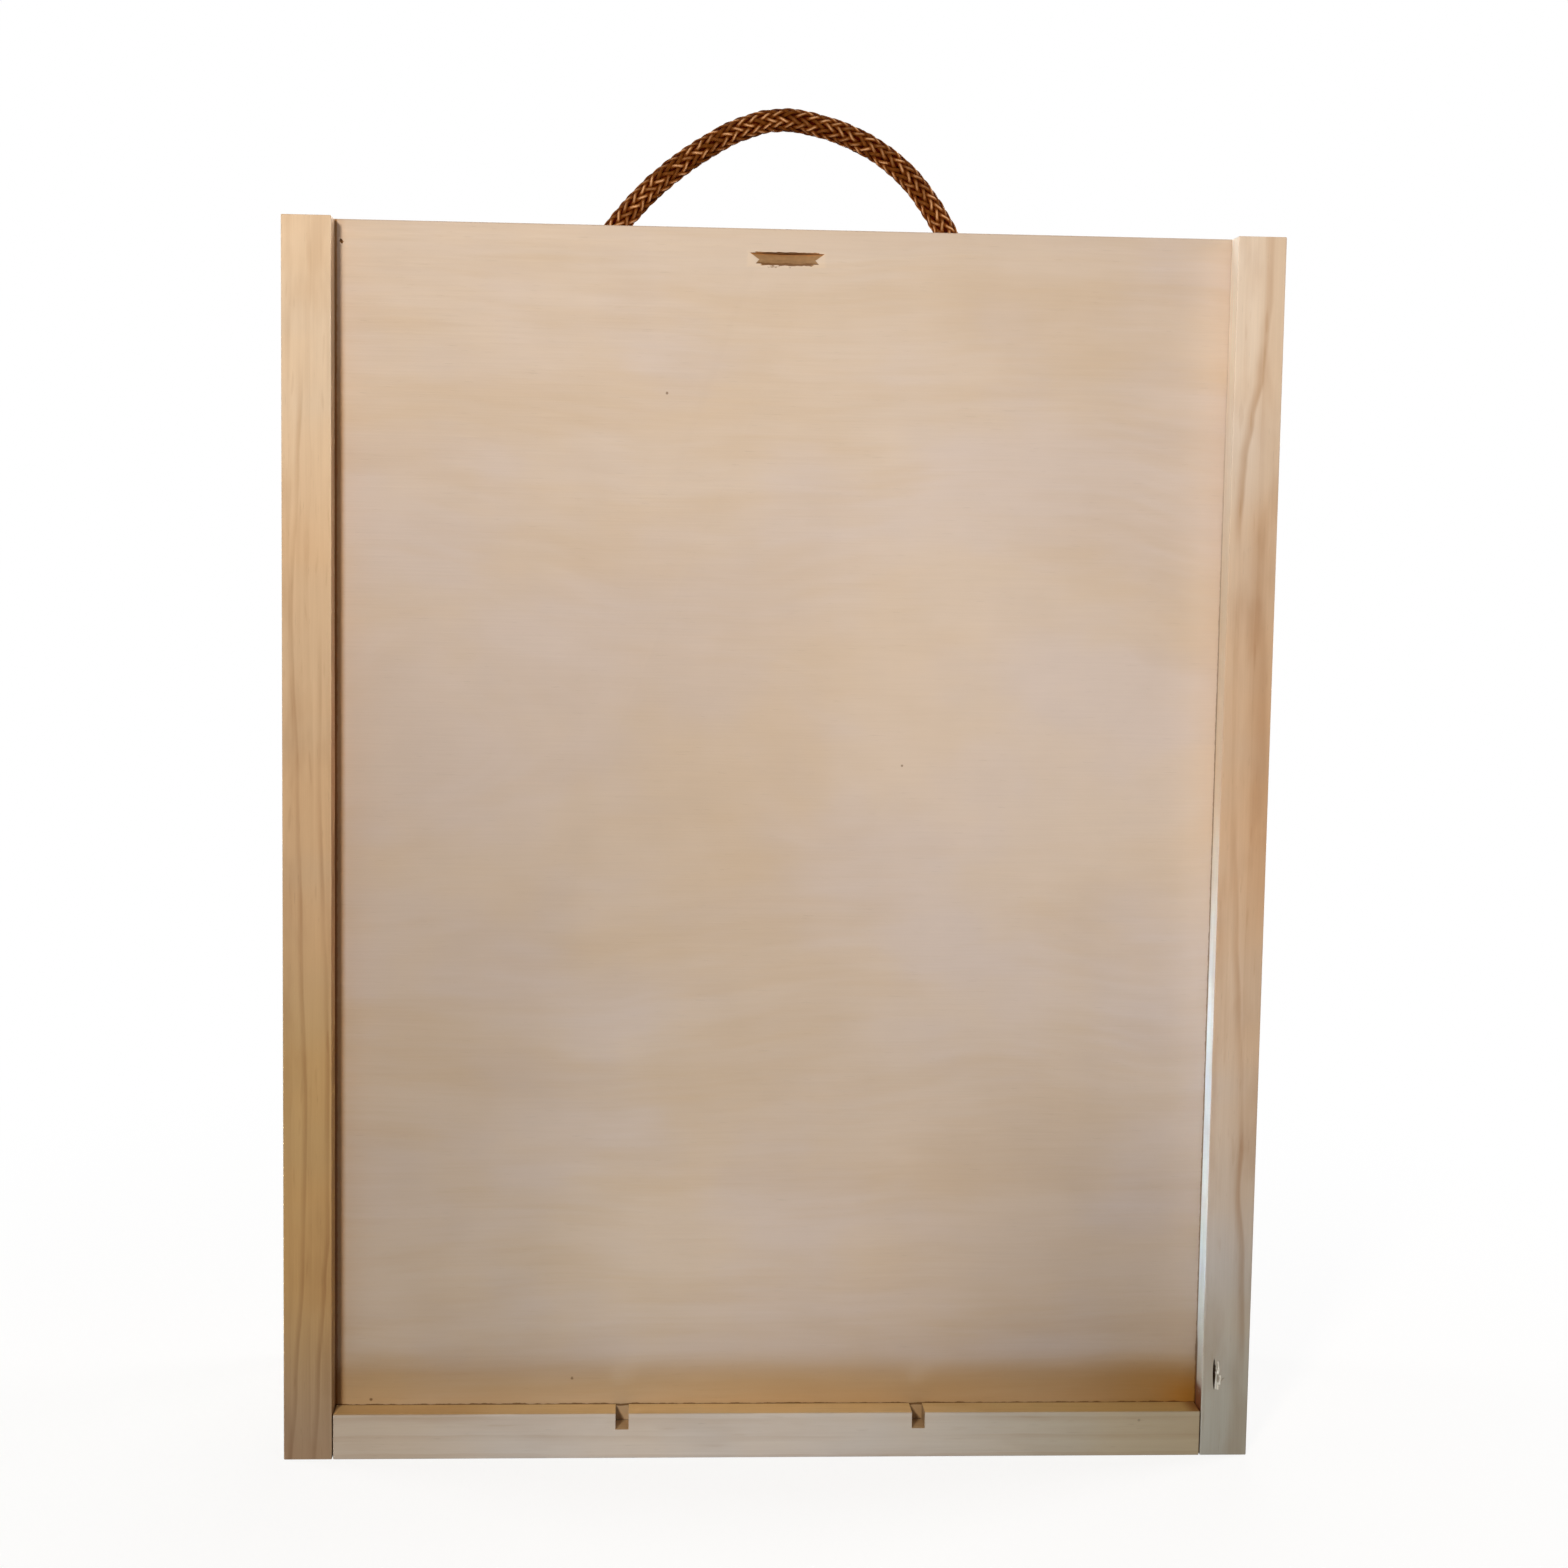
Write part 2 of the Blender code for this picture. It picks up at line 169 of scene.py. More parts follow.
class Shader:
    """A node tree that is written as expressions."""

    def __init__(self, tree: bpy.types.NodeTree) -> None:
        """Empties the tree."""
        self.tree = tree
        tree.nodes.clear()

    @classmethod
    def of_material(cls, name: str) -> tuple[bpy.types.Material, Shader]:
        """Makes a material and its empty tree.

        Args:
            name: the material's name.

        Returns:
            The material and the shader that fills it.
        """
        material = bpy.data.materials.new(name)
        material.use_nodes = True
        return material, cls(material.node_tree)

    def node(
        self,
        kind: str,
        settings: Mapping[str, object] | None = None,
        sockets: Mapping[str | int, object] | None = None,
        output: int | str = 0,
    ) -> Value:
        """Adds one node.

        Args:
            kind: the node's type.
            settings: its properties, which are set first.
            sockets: the value or the link of each input, by name or number.
            output: the output that the result stands for.

        Returns:
            That output.
        """
        made = self.tree.nodes.new(kind)
        for name, setting in (settings or {}).items():
            setattr(made, name, setting)
        for key, given in (sockets or {}).items():
            socket = made.inputs[key]
            if isinstance(given, Value):
                self.tree.links.new(given.socket, socket)
            elif isinstance(given, tuple) and len(given) < len(socket.default_value):
                socket.default_value = (*given, 1.0)
            else:
                socket.default_value = given
        return Value(self, made.outputs[output])

    def place(self) -> tuple[Value, Value, Value]:
        """Finds the point on the surface.

        Returns:
            Its x, y and z, in metres from the origin.
        """
        point = self.node("ShaderNodeTexCoord", output="Object")
        made = self.node("ShaderNodeSeparateXYZ", sockets={0: point}).socket.node
        return tuple(Value(self, socket) for socket in made.outputs)

    def noise(self, x: Term, y: Term, z: Term, detail: float = 2.0) -> Value:
        """Samples smooth noise, about 0 to 1 around a middle of 0.5.

        Args:
            x: first coordinate, in noise cells.
            y: second coordinate.
            z: third coordinate.
            detail: how many finer layers are added.

        Returns:
            The noise.
        """
        point = self.node("ShaderNodeCombineXYZ", sockets={0: x, 1: y, 2: z})
        return self.node("ShaderNodeTexNoise", sockets={"Vector": point, "Scale": 1.0, "Detail": detail})

    def mix(self, share: Term, first: object, second: object, way: str = "MIX") -> Value:
        """Mixes two colours.

        Args:
            share: how much of the second colour, 0 to 1.
            first: a colour or a link.
            second: a colour or a link.
            way: the blend type.

        Returns:
            The mixed colour.
        """
        settings = {"data_type": "RGBA", "blend_type": way}
        return self.node("ShaderNodeMix", settings, {0: share, 6: first, 7: second}, output=2)

    def grey(self, level: Value) -> Value:
        """Turns one value into a grey."""
        return self.node("ShaderNodeCombineXYZ", sockets={0: level, 1: level, 2: level})

    def bump(self, height: Value, strength: float, distance: float) -> Value:
        """Turns a height into a normal."""
        sockets = {"Height": height, "Strength": strength, "Distance": distance}
        return self.node("ShaderNodeBump", sockets=sockets)

    def surface(self, sockets: Mapping[str | int, object]) -> None:
        """Ends the tree with one Principled shader."""
        self.end(self.node("ShaderNodeBsdfPrincipled", sockets=sockets))

    def end(self, shader: Value, kind: str = "ShaderNodeOutputMaterial") -> None:
        """Links a shader to the tree's output."""
        last = self.tree.nodes.new(kind)
        self.tree.links.new(shader.socket, last.inputs["Surface"])


class Grain(Enum):
    """The way a board's fibres run."""

    UPRIGHT = "upright"
    LEVEL = "level"


@dataclass(frozen=True)
class PaintedFade:
    """A painted gradient of light and shade over a board, from none at one point to full at another."""

    start: Point
    full: Point
    tint: Colour

    def amount(self, place: Sequence[Value]) -> Value:
        """Gives how full the tint is at each point.

        Args:
            place: the point, as x, y and z.

        Returns:
            0 at the start, 1 where it is full.
        """
        way = [end - begin for begin, end in zip(self.start, self.full)]
        square = sum(part**2 for part in way)
        shares = [(value - begin) * (part / square) for value, begin, part in zip(place, self.start, way)]
        return (shares[0] + shares[1] + shares[2]).rise(0.0, 1.0)


@dataclass(frozen=True)
class Fleck:
    """A small speck, at a point on the board, dark unless its tint says otherwise."""

    at: Point
    radius: float
    tint: Colour = (0.25, 0.17, 0.10)


@dataclass(frozen=True)
class StainAndPaintedLight:
    """A box-shaped area with another tint. Some are sawn faces and torn fibres, most are painted light and
    shade.
    """

    low: Point
    high: Point
    tint: Colour
    ragged: float = 0.0
    soft: Point = (0.1 * MM, 0.1 * MM, 0.1 * MM)

    def amount(self, place: Sequence[Value], grit: Value) -> Value:
        """Gives how full the tint is at each point.

        Args:
            place: the point, as x, y and z.
            grit: noise from 0 to 1 that shifts the area's edges.

        Returns:
            1 inside the box and 0 outside it.
        """
        shift = (grit - 0.5) * self.ragged
        mask: Term = 1.0
        for value, low, high, soft in zip(place, self.low, self.high, self.soft):
            half = soft / 2
            moved = value + shift
            mask = moved.rise(low - half, low + half) * mask
            mask = moved.rise(high + half, high - half) * mask
        return mask


@dataclass(frozen=True)
class Timber:
    """What every board shares: tint that drifts, fibres, specks, stains and painted light and shade, and
    arrises darkened by grime or lightened by a painted highlight, as their tint says.

    Its painted fades of light and shade die out at the fade depth behind its front.
    """

    name: str
    grain: Grain
    pale: Colour
    dark: Colour
    seed: float = 0.0
    cloud: float = 0.7
    fibres: float = 0.12
    warm: Colour = (1.03, 0.985, 0.93)
    cool: Colour = (0.97, 0.99, 1.03)
    arris_grime_and_highlight: Colour = (0.80, 0.76, 0.72)
    arris: float = 0.5 * MM
    painted_fades: tuple[PaintedFade, ...] = ()
    painted_fade_depth: float = 1.0
    flecks: tuple[Fleck, ...] = ()
    stains_and_painted_light: tuple[StainAndPaintedLight, ...] = ()

    def axes(self, place: Sequence[Value]) -> tuple[Value, Value, Value]:
        """Orders a point as along the fibres, across them, and through the board."""
        x, y, z = place
        return (z, x, y) if self.grain is Grain.UPRIGHT else (x, z, y)

    def arrises(self, place: Sequence[Value], box: Box) -> Value:
        """Gives how near each point is to one of the board's own edges.

        Args:
            place: the point, as x, y and z.
            box: the board's lowest and highest corners.

        Returns:
            1 on an edge, 0 further away than the tinted width.
        """
        near = []
        for value, low, high in zip(place, box[0], box[1]):
            at_low = value.rise(low + self.arris, low)
            near.append(at_low.most(value.rise(high - self.arris, high)))
        first, second, third = near
        return first.least(second).most(second.least(third)).most(first.least(third))

    def figure(self, shader: Shader, place: Sequence[Value], box: Box) -> tuple[Value, Value]:
        """Draws the timber's own pattern.

        Args:
            shader: the tree to write in.
            place: the point, as x, y and z.
            box: the board's lowest and highest corners.

        Returns:
            The pattern's colour, and its dense wood, 0 to 1.
        """
        raise NotImplementedError

    def material(self, box: Box) -> bpy.types.Material:
        """Makes the finish for one board.

        Args:
            box: the board's lowest and highest corners.

        Returns:
            The material.
        """
        material, shader = Shader.of_material(self.name)
        place = shader.place()
        x, y, z = place
        along, across, _ = self.axes(place)
        colour, dense = self.figure(shader, place, box)
        fibre = shader.noise(along * 45 + self.seed, across * 1900, y * 1900, 3.0)
        pores = shader.noise(along * 160, across * 2600 + self.seed, y * 2600, 1.0).rise(0.70, 0.78)
        clouds = shader.noise(x * 16 + self.seed, y * 16, z * 24, 3.0)
        patches = shader.noise(x * 60, y * 60 + self.seed, z * 60, 2.0)
        grit = shader.noise(x * 420, y * 420, z * 420 + self.seed, 3.0)

        tint = shader.mix(clouds.rise(0.38, 0.62), self.warm, self.cool)
        colour = shader.mix(self.cloud, colour, tint, "MULTIPLY")
        shade = 1 - (patches - 0.5) * 0.08 - (fibre - 0.5) * self.fibres - pores * self.fibres
        colour = shader.mix(1.0, colour, shader.grey(shade), "MULTIPLY")
        # Painted fades of light and shade, full on the front and gone at the fade depth behind it
        front = box[0][1]
        near = y.rise(front + self.painted_fade_depth, front + 0.15 * self.painted_fade_depth)
        for fade in self.painted_fades:
            colour = shader.mix(fade.amount(place) * near, colour, fade.tint, "MULTIPLY")
        # Stains, and painted light and shade in boxes
        for stain in self.stains_and_painted_light:
            colour = shader.mix(stain.amount(place, grit), colour, stain.tint, "MULTIPLY")
        for fleck in self.flecks:
            reach = sum((value - middle) ** 2.0 for value, middle in zip(place, fleck.at)) ** 0.5
            spot = (reach + (fibre - 0.5) * fleck.radius).rise(fleck.radius, 0.35 * fleck.radius)
            colour = shader.mix(spot * 0.8, colour, fleck.tint, "MULTIPLY")
        # Arrises: grime darkens them by default, and on the sides a painted highlight lightens them
        edge = self.arrises(place, box) * patches.rise(0.25, 0.6)
        colour = shader.mix(edge * 0.8, colour, self.arris_grime_and_highlight, "MULTIPLY")

        relief = fibre * 0.5 - dense * 0.25 - pores * 0.6
        shader.surface(
            {
                "Base Color": colour,
                "Roughness": 0.58 + (fibre - 0.5) * 0.22 - dense * 0.07,
                "Normal": shader.bump(relief, 0.30, 0.25 * MM),
                "Specular IOR Level": 0.35,
            }
        )
        return material


@dataclass(frozen=True)
class LateWood:
    """One bold line of late wood, soft on one side and crisp on the other.

    Its route is where it runs, as places along and across the board in millimetres.
    """

    route: tuple[tuple[float, float], ...]
    width: float = 1.5 * MM
    depth: float = 0.40
    fade: float = 22 * MM

    def amount(self, along: Value, across: Value) -> Value:
        """Gives how dense the line is at each point.

        Args:
            along: distance along the board.
            across: distance across it, with its wobble.

        Returns:
            The line's depth on it and 0 away from it.
        """
        rows = [(place * MM, middle * MM) for place, middle in self.route]
        middle: Term = rows[0][1]
        for (start, before), (stop, after) in zip(rows, rows[1:]):
            middle = along.rise(start, stop) * (after - before) + middle
        off = (across - middle) / self.width
        first, last = rows[0][0], rows[-1][0]
        way = math.copysign(self.fade, last - first)
        ends = along.rise(first - way / 2, first + way / 2) * along.rise(last + way / 2, last - way / 2)
        return off.rise(-1.0, 0.0) * off.rise(0.45, 0.05) * ends * self.depth


@dataclass(frozen=True)
class Pine(Timber):
    """Solid pine: faint rings round a pith outside the board, blotches, and its bold lines."""

    pith: tuple[float, float] = (0.0, 0.0)
    ring_pitch: float = 5.6 * MM
    contrast: float = 0.40
    sway: float = 1.2 * MM
    blotch: float = 0.22
    lines: tuple[LateWood, ...] = ()

    def figure(self, shader: Shader, place: Sequence[Value], box: Box) -> tuple[Value, Value]:
        """Draws the rings and the lines.

        Args:
            shader: the tree to write in.
            place: the point, as x, y and z.
            box: the board's lowest and highest corners, which are not used here.

        Returns:
            The pattern's colour, and its dense wood, 0 to 1.
        """
        along, across, through = self.axes(place)
        slow = shader.noise(along * 16 + self.seed, across * 20, through * 12, 1.0) - 0.5
        quick = shader.noise(along * 70 + self.seed, across * 160, through * 60, 2.0) - 0.5
        wobble = slow * (2.4 * self.sway) + quick * (0.7 * self.sway)
        side = across - self.pith[0] + wobble
        depth = through - self.pith[1]
        years = ((side * side + depth * depth) ** 0.5) / self.ring_pitch
        phase = years.fraction()
        vivid = shader.noise(along * 15, years.whole() * 5.3 + self.seed, 0.0, 1.0).rise(0.36, 0.58)
        late = phase.rise(0.55, 0.92) * phase.rise(1.0, 0.94) * (vivid * 0.8 + 0.2) * self.contrast
        bold = shader.noise(along * 22 + self.seed, across * 40, 0.0, 1.0).rise(0.25, 0.60) * 0.6 + 0.4
        for line in self.lines:
            late = late + line.amount(along, across + wobble * 0.35) * bold
        blots = shader.noise(along * 26, across * 95 + self.seed, through * 95, 3.0).rise(0.46, 0.70)
        dashes = shader.noise(along * 75 + self.seed, across * 620, through * 620, 1.0).rise(0.64, 0.76)
        streak = shader.noise(along * 8 + self.seed, across * 300, through * 300, 3.0)
        share = late + blots * self.blotch + dashes * 0.14 + (streak - 0.5) * 0.30 + 0.05
        return shader.mix(share.most(0.0).least(1.0), self.pale, self.dark), late


@dataclass(frozen=True)
class Veneer(Timber):
    """Thin plywood: a face veneer with broad soft figure over a brown core."""

    core: Colour = (0.35, 0.205, 0.100)
    heart: float = 0.212
    heart_depth: float = 0.11
    taper: float = 0.02
    ply: float = 0.12 * MM

    def figure(self, shader: Shader, place: Sequence[Value], box: Box) -> tuple[Value, Value]:
        """Draws the flame figure of the face and the core's end grain.

        Args:
            shader: the tree to write in.
            place: the point, as x, y and z.
            box: the board's lowest and highest corners.

        Returns:
            The pattern's colour, and its dense wood, 0 to 1.
        """
        x, y, z = place
        along, across, _ = self.axes(place)
        bend = (shader.noise(along * 9 + self.seed, across * 12, 0.0, 2.0) - 0.5) * 0.016
        rise = across - self.heart
        flame = (rise * rise + self.heart_depth**2) ** 0.5 + along * self.taper + bend
        broad = shader.noise(flame * 85, along * 13 + self.seed, 0.0, 3.0)
        narrow = shader.noise(flame * 560, along * 20 + self.seed, 0.0, 4.0)
        share = broad.rise(0.36, 0.68) * 0.5 + (narrow - 0.5) * 0.70
        face = shader.mix(share.most(0.0).least(1.0), self.pale, self.dark)
        front, back = box[0][1], box[1][1]
        soft = 0.05 * MM
        deep = y.rise(front + self.ply - soft, front + self.ply + soft)
        deep = deep * y.rise(back - self.ply + soft, back - self.ply - soft)
        fleck = shader.noise(x * 700, y * 2500 + self.seed, z * 700, 3.0)
        core = shader.mix(1.0, self.core, shader.grey(0.75 + fleck * 0.5), "MULTIPLY")
        return shader.mix(deep, face, core), broad


@dataclass(frozen=True)
class Yarn:
    """Dull twisted yarn of the brown rope, with a painted highlight on its crest and painted shade where it
    dives under another.
    """

    name: str = "rope_yarn"
    # crest is a painted highlight, flank the yarn's own brown, deep a painted shade
    crest: Colour = (0.68, 0.40, 0.225)
    flank: Colour = (0.190, 0.060, 0.010)
    deep: Colour = (0.044, 0.0030, 0.0003)
    gloss: Colour = (1.0, 0.66, 0.36)
    twist_pitch: float = 1.6 * MM

    def material(self) -> bpy.types.Material:
        """Makes the finish. It reads the braid's own marks on its points.

        Returns:
            The material.
        """
        material, shader = Shader.of_material(self.name)
        marks = []
        for name in ("braid", "yarn"):
            made = shader.node("ShaderNodeAttribute", {"attribute_name": name}, output="Vector")
            parts = shader.node("ShaderNodeSeparateXYZ", sockets={0: made}).socket.node.outputs
            marks += [Value(shader, socket) for socket in parts]
        tone, height, run, crest = marks[:4]
        x, y, z = shader.place()
        lint = shader.noise(x * 3000, y * 3000, z * 3000, 2.0)
        twist = (run * (math.tau / self.twist_pitch)).sine() * 0.5 + 0.5
        # A painted highlight along the crest of each float
        painted_crest_highlight = crest.rise(0.72, 1.0) * height.rise(0.60, 1.0) * tone.rise(0.0, 0.8)
        # Painted shade on the yarn's inner side and where it dives under another
        colour = shader.mix(height.rise(0.15, 0.90) * crest.rise(-0.2, 0.8), self.deep, self.flank)
        colour = shader.mix(painted_crest_highlight, colour, self.crest)
        shade = 0.75 + tone * 0.45 + (lint - 0.5) * 0.30 + (twist - 0.5) * 0.16
        relief = twist * 0.6 + lint * 0.5
        shader.surface(
            {
                "Base Color": shader.mix(1.0, colour, shader.grey(shade), "MULTIPLY"),
                "Roughness": 0.36 + (lint - 0.5) * 0.25,
                "Normal": shader.bump(relief, 0.35, 0.10 * MM),
                "Specular IOR Level": 0.012,
                "Specular Tint": self.gloss,
            }
        )
        return material


@dataclass(frozen=True)
class NailSteel:
    """Dull drawn steel with a little rust bloom."""

    name: str = "nail_steel"
    bright: Colour = (0.42, 0.41, 0.40)
    rust: Colour = (0.20, 0.11, 0.06)

    def material(self) -> bpy.types.Material:
        """Makes the finish.

        Returns:
            The material.
        """
        material, shader = Shader.of_material(self.name)
        x, y, z = shader.place()
        bloom = shader.noise(x * 900, y * 900, z * 900, 4.0)
        brushed = shader.noise(x * 4000, y * 4000, z * 4000, 1.0)
        spots = bloom.rise(0.52, 0.68)
        shader.surface(
            {
                "Base Color": shader.mix(spots * 0.7, self.bright, self.rust),
                "Metallic": 0.95 - spots * 0.6,
                "Roughness": 0.36 + spots * 0.30 + (brushed - 0.5) * 0.18,
                "Normal": shader.bump(bloom * 0.5 + brushed * 0.5, 0.30, 0.08 * MM),
            }
        )
        return material


def new_object(name: str, mesh: bpy.types.Mesh) -> bpy.types.Object:
    """Puts a mesh in the scene as an object at the origin.

    Args:
        name: the object's name.
        mesh: its mesh.

    Returns:
        The object.
    """
    made = bpy.data.objects.new(name, mesh)
    bpy.context.scene.collection.objects.link(made)
    return made


def smooth_line(points: np.ndarray, steps: int) -> np.ndarray:
    """Draws a smooth curve through points.

    Args:
        points: the route, one row a point.
        steps: samples from each point to the next.

    Returns:
        The samples, from the first point to the last.
    """
    padded = np.vstack([2 * points[0] - points[1], points, 2 * points[-1] - points[-2]])
    shares = np.linspace(0.0, 1.0, steps, endpoint=False)[:, None]
    runs = []
    for before, first, last, after in zip(padded, padded[1:], padded[2:], padded[3:]):
        bend = 2 * before - 5 * first + 4 * last - after
        twist = 3 * first - before - 3 * last + after
        run = 2 * first + (last - before) * shares + bend * shares**2 + twist * shares**3
        runs.append(run / 2)
    return np.vstack([*runs, points[-1:]])


@dataclass
class Centreline:
    """A smooth curve with a frame at each point that doesn't twist about it."""

    points: np.ndarray
    run: np.ndarray = field(init=False)
    side: np.ndarray = field(init=False)
    lift: np.ndarray = field(init=False)

    def __post_init__(self) -> None:
        """Measures the curve and carries a frame along it."""
        steps = np.linalg.norm(np.diff(self.points, axis=0), axis=1)
        self.run = np.concatenate([[0.0], np.cumsum(steps)])
        ways = np.gradient(self.points, self.run, axis=0)
        ways /= np.linalg.norm(ways, axis=1)[:, None]
        start = np.cross(ways[0], (0.0, 1.0, 0.0))
        sides = [start / np.linalg.norm(start)]
        for way in ways[1:]:
            side = sides[-1] - way * np.dot(sides[-1], way)
            sides.append(side / np.linalg.norm(side))
        self.side = np.array(sides)
        self.lift = np.cross(ways, self.side)

    @property
    def length(self) -> float:
        """The curve's length."""
        return float(self.run[-1])

    def at(self, values: np.ndarray, runs: np.ndarray) -> np.ndarray:
        """Reads rows of points or directions at distances along the curve."""
        return np.stack([np.interp(runs, self.run, column) for column in values.T], axis=-1)

    def around(self, runs: np.ndarray, turns: np.ndarray, radii: np.ndarray) -> np.ndarray:
        """Gives points round the curve.

        Args:
            runs: distance along the curve.
            turns: angle round it.
            radii: distance from it.

        Returns:
            The points.
        """
        out = np.cos(turns)[..., None] * self.at(self.side, runs)
        out = out + np.sin(turns)[..., None] * self.at(self.lift, runs)
        return self.at(self.points, runs) + radii[..., None] * out


class TubeMesh:
    """Many thin closed tubes gathered into one mesh, with marks on their points."""

    def __init__(self) -> None:
        """Starts with no tubes."""
        self.points: list[np.ndarray] = []
        self.marks: list[np.ndarray] = []
        self.crests: list[np.ndarray] = []
        self.faces: list[tuple[int, ...]] = []
        self.count = 0

    def add(
        self, line: np.ndarray, out: np.ndarray, size: tuple[float, float], mark: np.ndarray, sides: int
    ) -> None:
        """Adds one tube.

        Args:
            line: its middle, one row a ring.
            out: the way that its flat faces, one row a ring.
            size: its half width across and its half height along out.
            mark: three numbers a ring for the finish.
            sides: corners of its section.
        """
        way = np.gradient(line, axis=0)
        way /= np.linalg.norm(way, axis=1)[:, None]
        across = np.cross(way, out)
        across /= np.linalg.norm(across, axis=1)[:, None]
        rise = np.cross(across, way)
        turns = np.arange(sides) * (math.tau / sides)
        ring = np.cos(turns)[None, :, None] * across[:, None, :] * size[0]
        ring = ring + np.sin(turns)[None, :, None] * rise[:, None, :] * size[1]
        self.points.append((line[:, None, :] + ring).reshape(-1, 3))
        self.marks.append(np.repeat(mark, sides, axis=0))
        crest = np.zeros((sides, 3))
        crest[:, 0] = np.sin(turns) / np.sin(turns).max()
        self.crests.append(np.tile(crest, (len(line), 1)))
        last = self.count + (len(line) - 1) * sides
        for first in range(self.count, last, sides):
            for corner in range(sides):
                low, high = first + corner, first + (corner + 1) % sides
                self.faces.append((low, high, high + sides, low + sides))
        self.faces.append(tuple(range(self.count + sides - 1, self.count - 1, -1)))
        self.faces.append(tuple(range(last, last + sides)))
        self.count = last + sides

    def mesh(self, name: str) -> bpy.types.Mesh:
        """Makes the mesh, smooth along its tubes.

        Args:
            name: the mesh's name.

        Returns:
            The mesh, with each ring's marks as braid and each corner's as yarn.
        """
        made = bpy.data.meshes.new(name)
        made.from_pydata(np.vstack(self.points).tolist(), [], self.faces)
        made.polygons.foreach_set("use_smooth", [len(face) == 4 for face in self.faces])
        for kind, rows in (("braid", self.marks), ("yarn", self.crests)):
            marks = made.attributes.new(kind, "FLOAT_VECTOR", "POINT")
            marks.data.foreach_set("vector", np.vstack(rows).ravel())
        return made


@dataclass
class RopeHandle:
    """Braided rope: an arch that comes up through two holes and a knot under each.

    Each strand rises and dives by the wave, and the flatness says how long it stays up. It leans aside
    by the bow, wanders by the stray, and has a tone of its own in each float between two dives. The
    arch's points are places across the box and above the top end, and the tail's are places from the
    middle of the knot's loop. Both are in millimetres.
    """

    diameter: float = 7 * MM
    proud: float = 0.10 * MM
    strands: int = 12
    strand_half_width: float = 0.64 * MM
    strand_half_height: float = 0.50 * MM
    wave: float = 0.16 * MM
    flatness: float = 1.8
    crown: float = 0.05 * MM
    bow: float = 0.11 * MM
    stray: float = 0.34 * MM
    stray_step: float = 2.3 * MM
    longest: float = 0.5
    most_floats: int = 200
    seed: int = 7
    lay_degrees: float = 22.5
    arch_step: float = 0.7 * MM
    arch_sides: int = 8
    knot_step: float = 0.9 * MM
    knot_sides: int = 5
    core_share: float = 0.62
    core_steps: int = 3
    core_sides: int = 12
    line_steps: int = 24
    arch: tuple[tuple[float, float], ...] = (
        (-50.2, 3.0), (-42.7, 12.0), (-35.1, 19.3), (-26.4, 26.0), (-16.0, 32.4), (-6.1, 36.2),
        (2.0, 37.1), (10.0, 35.9), (20.1, 32.9), (30.0, 27.9), (39.3, 20.4), (46.5, 11.2), (51.3, 3.0),
    )
    hole_offset: float = 1.8 * MM
    mouth_depth: float = 1.5 * MM
    joint_gap: float = 0.3 * MM
    loop_radius: float = 8.8 * MM
    loop_lift: float = 4.1 * MM
    lifts_per_turn: float = 1.5
    start_degrees: float = 20.0
    end_degrees: float = 60.0
    knot_points: int = 40
    tail: tuple[Point, ...] = (
        (-7.0, -6.2, 8.2), (-11.8, -8.6, 5.0), (-13.4, -9.8, -1.0), (-13.6, -10.0, -8.0),
    )
    bend_below: float = 7 * MM
    bend_above: float = 8 * MM
    yarn: Yarn = field(default_factory=Yarn)
    yarn_material: bpy.types.Material = field(init=False)

    def knot(self) -> np.ndarray:
        """Draws one overhand knot.

        Returns:
            Its route, from the rope that leads down to it to its tail's tip.
        """
        start = math.radians(self.start_degrees)
        end = 2 * math.tau - math.radians(self.end_degrees)
        travel = np.linspace(start, end, self.knot_points + 1)
        lift = self.lifts_per_turn * travel
        radius = self.loop_radius + self.loop_lift * np.cos(lift)
        turn = math.pi + travel - start
        middle = np.array([self.loop_radius + self.loop_lift * math.cos(lift[0]), 0.0, 0.0])
        rows = np.stack([radius * np.cos(turn), self.loop_lift * np.sin(lift), radius * np.sin(turn)], axis=1)
        return np.vstack([middle + rows, middle + np.array(self.tail) * MM])

    def rope_end(self, hole_x: float, outward: float, under: float, top: float) -> np.ndarray:
        """Places one knot under the top end board, with the rope that leads down to it.

        Args:
            hole_x: where the hole is.
            outward: the way that the tail points, -1 or 1.
            under: height of the board's underside.
            top: height of its top face.

        Returns:
            The route from just under the top face to the tail's tip.
        """
        knot = self.knot()
        drop = under - self.joint_gap - (knot[:, 2].max() + self.diameter / 2)
        lead = np.array([[0.0, 0.0, top - self.mouth_depth - drop], [0.0, 0.0, under - drop]])
        route = np.vstack([lead, knot])
        return np.array([hole_x, 0.0, drop]) + route * np.array([outward, 1.0, 1.0])

    def route(self) -> tuple[Centreline, float, float]:
        """Draws the whole rope.

        Returns:
            The rope's middle from tail to tail, and how far along it the arch starts and ends.
        """
        board_low, board_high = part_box("top_end")
        under, top = board_low[2], board_high[2]
        arch = np.array([(x * MM, 0.0, top + rise * MM) for x, rise in self.arch])
        left = self.rope_end(arch[0][0] - self.hole_offset, -1.0, under, top)
        right = self.rope_end(arch[-1][0] + self.hole_offset, 1.0, under, top)
        samples = smooth_line(np.vstack([left[::-1], arch, right]), self.line_steps)
        line = Centreline(samples)
        arch_from = (len(left) - 2) * self.line_steps
        arch_to = len(samples) - 1 - (len(right) - 2) * self.line_steps
        return line, float(line.run[arch_from]), float(line.run[arch_to])

    def wander(self, draws: np.random.Generator, runs: np.ndarray) -> np.ndarray:
        """Gives a slow random drift along a strand.

        Args:
            draws: where the random numbers come from.
            runs: distance along the rope.

        Returns:
            The drift at each distance, within the stray on either side.
        """
        places = np.arange(0.0, self.longest, self.stray_step)
        return np.interp(runs, places, draws.uniform(-self.stray, self.stray, len(places)))

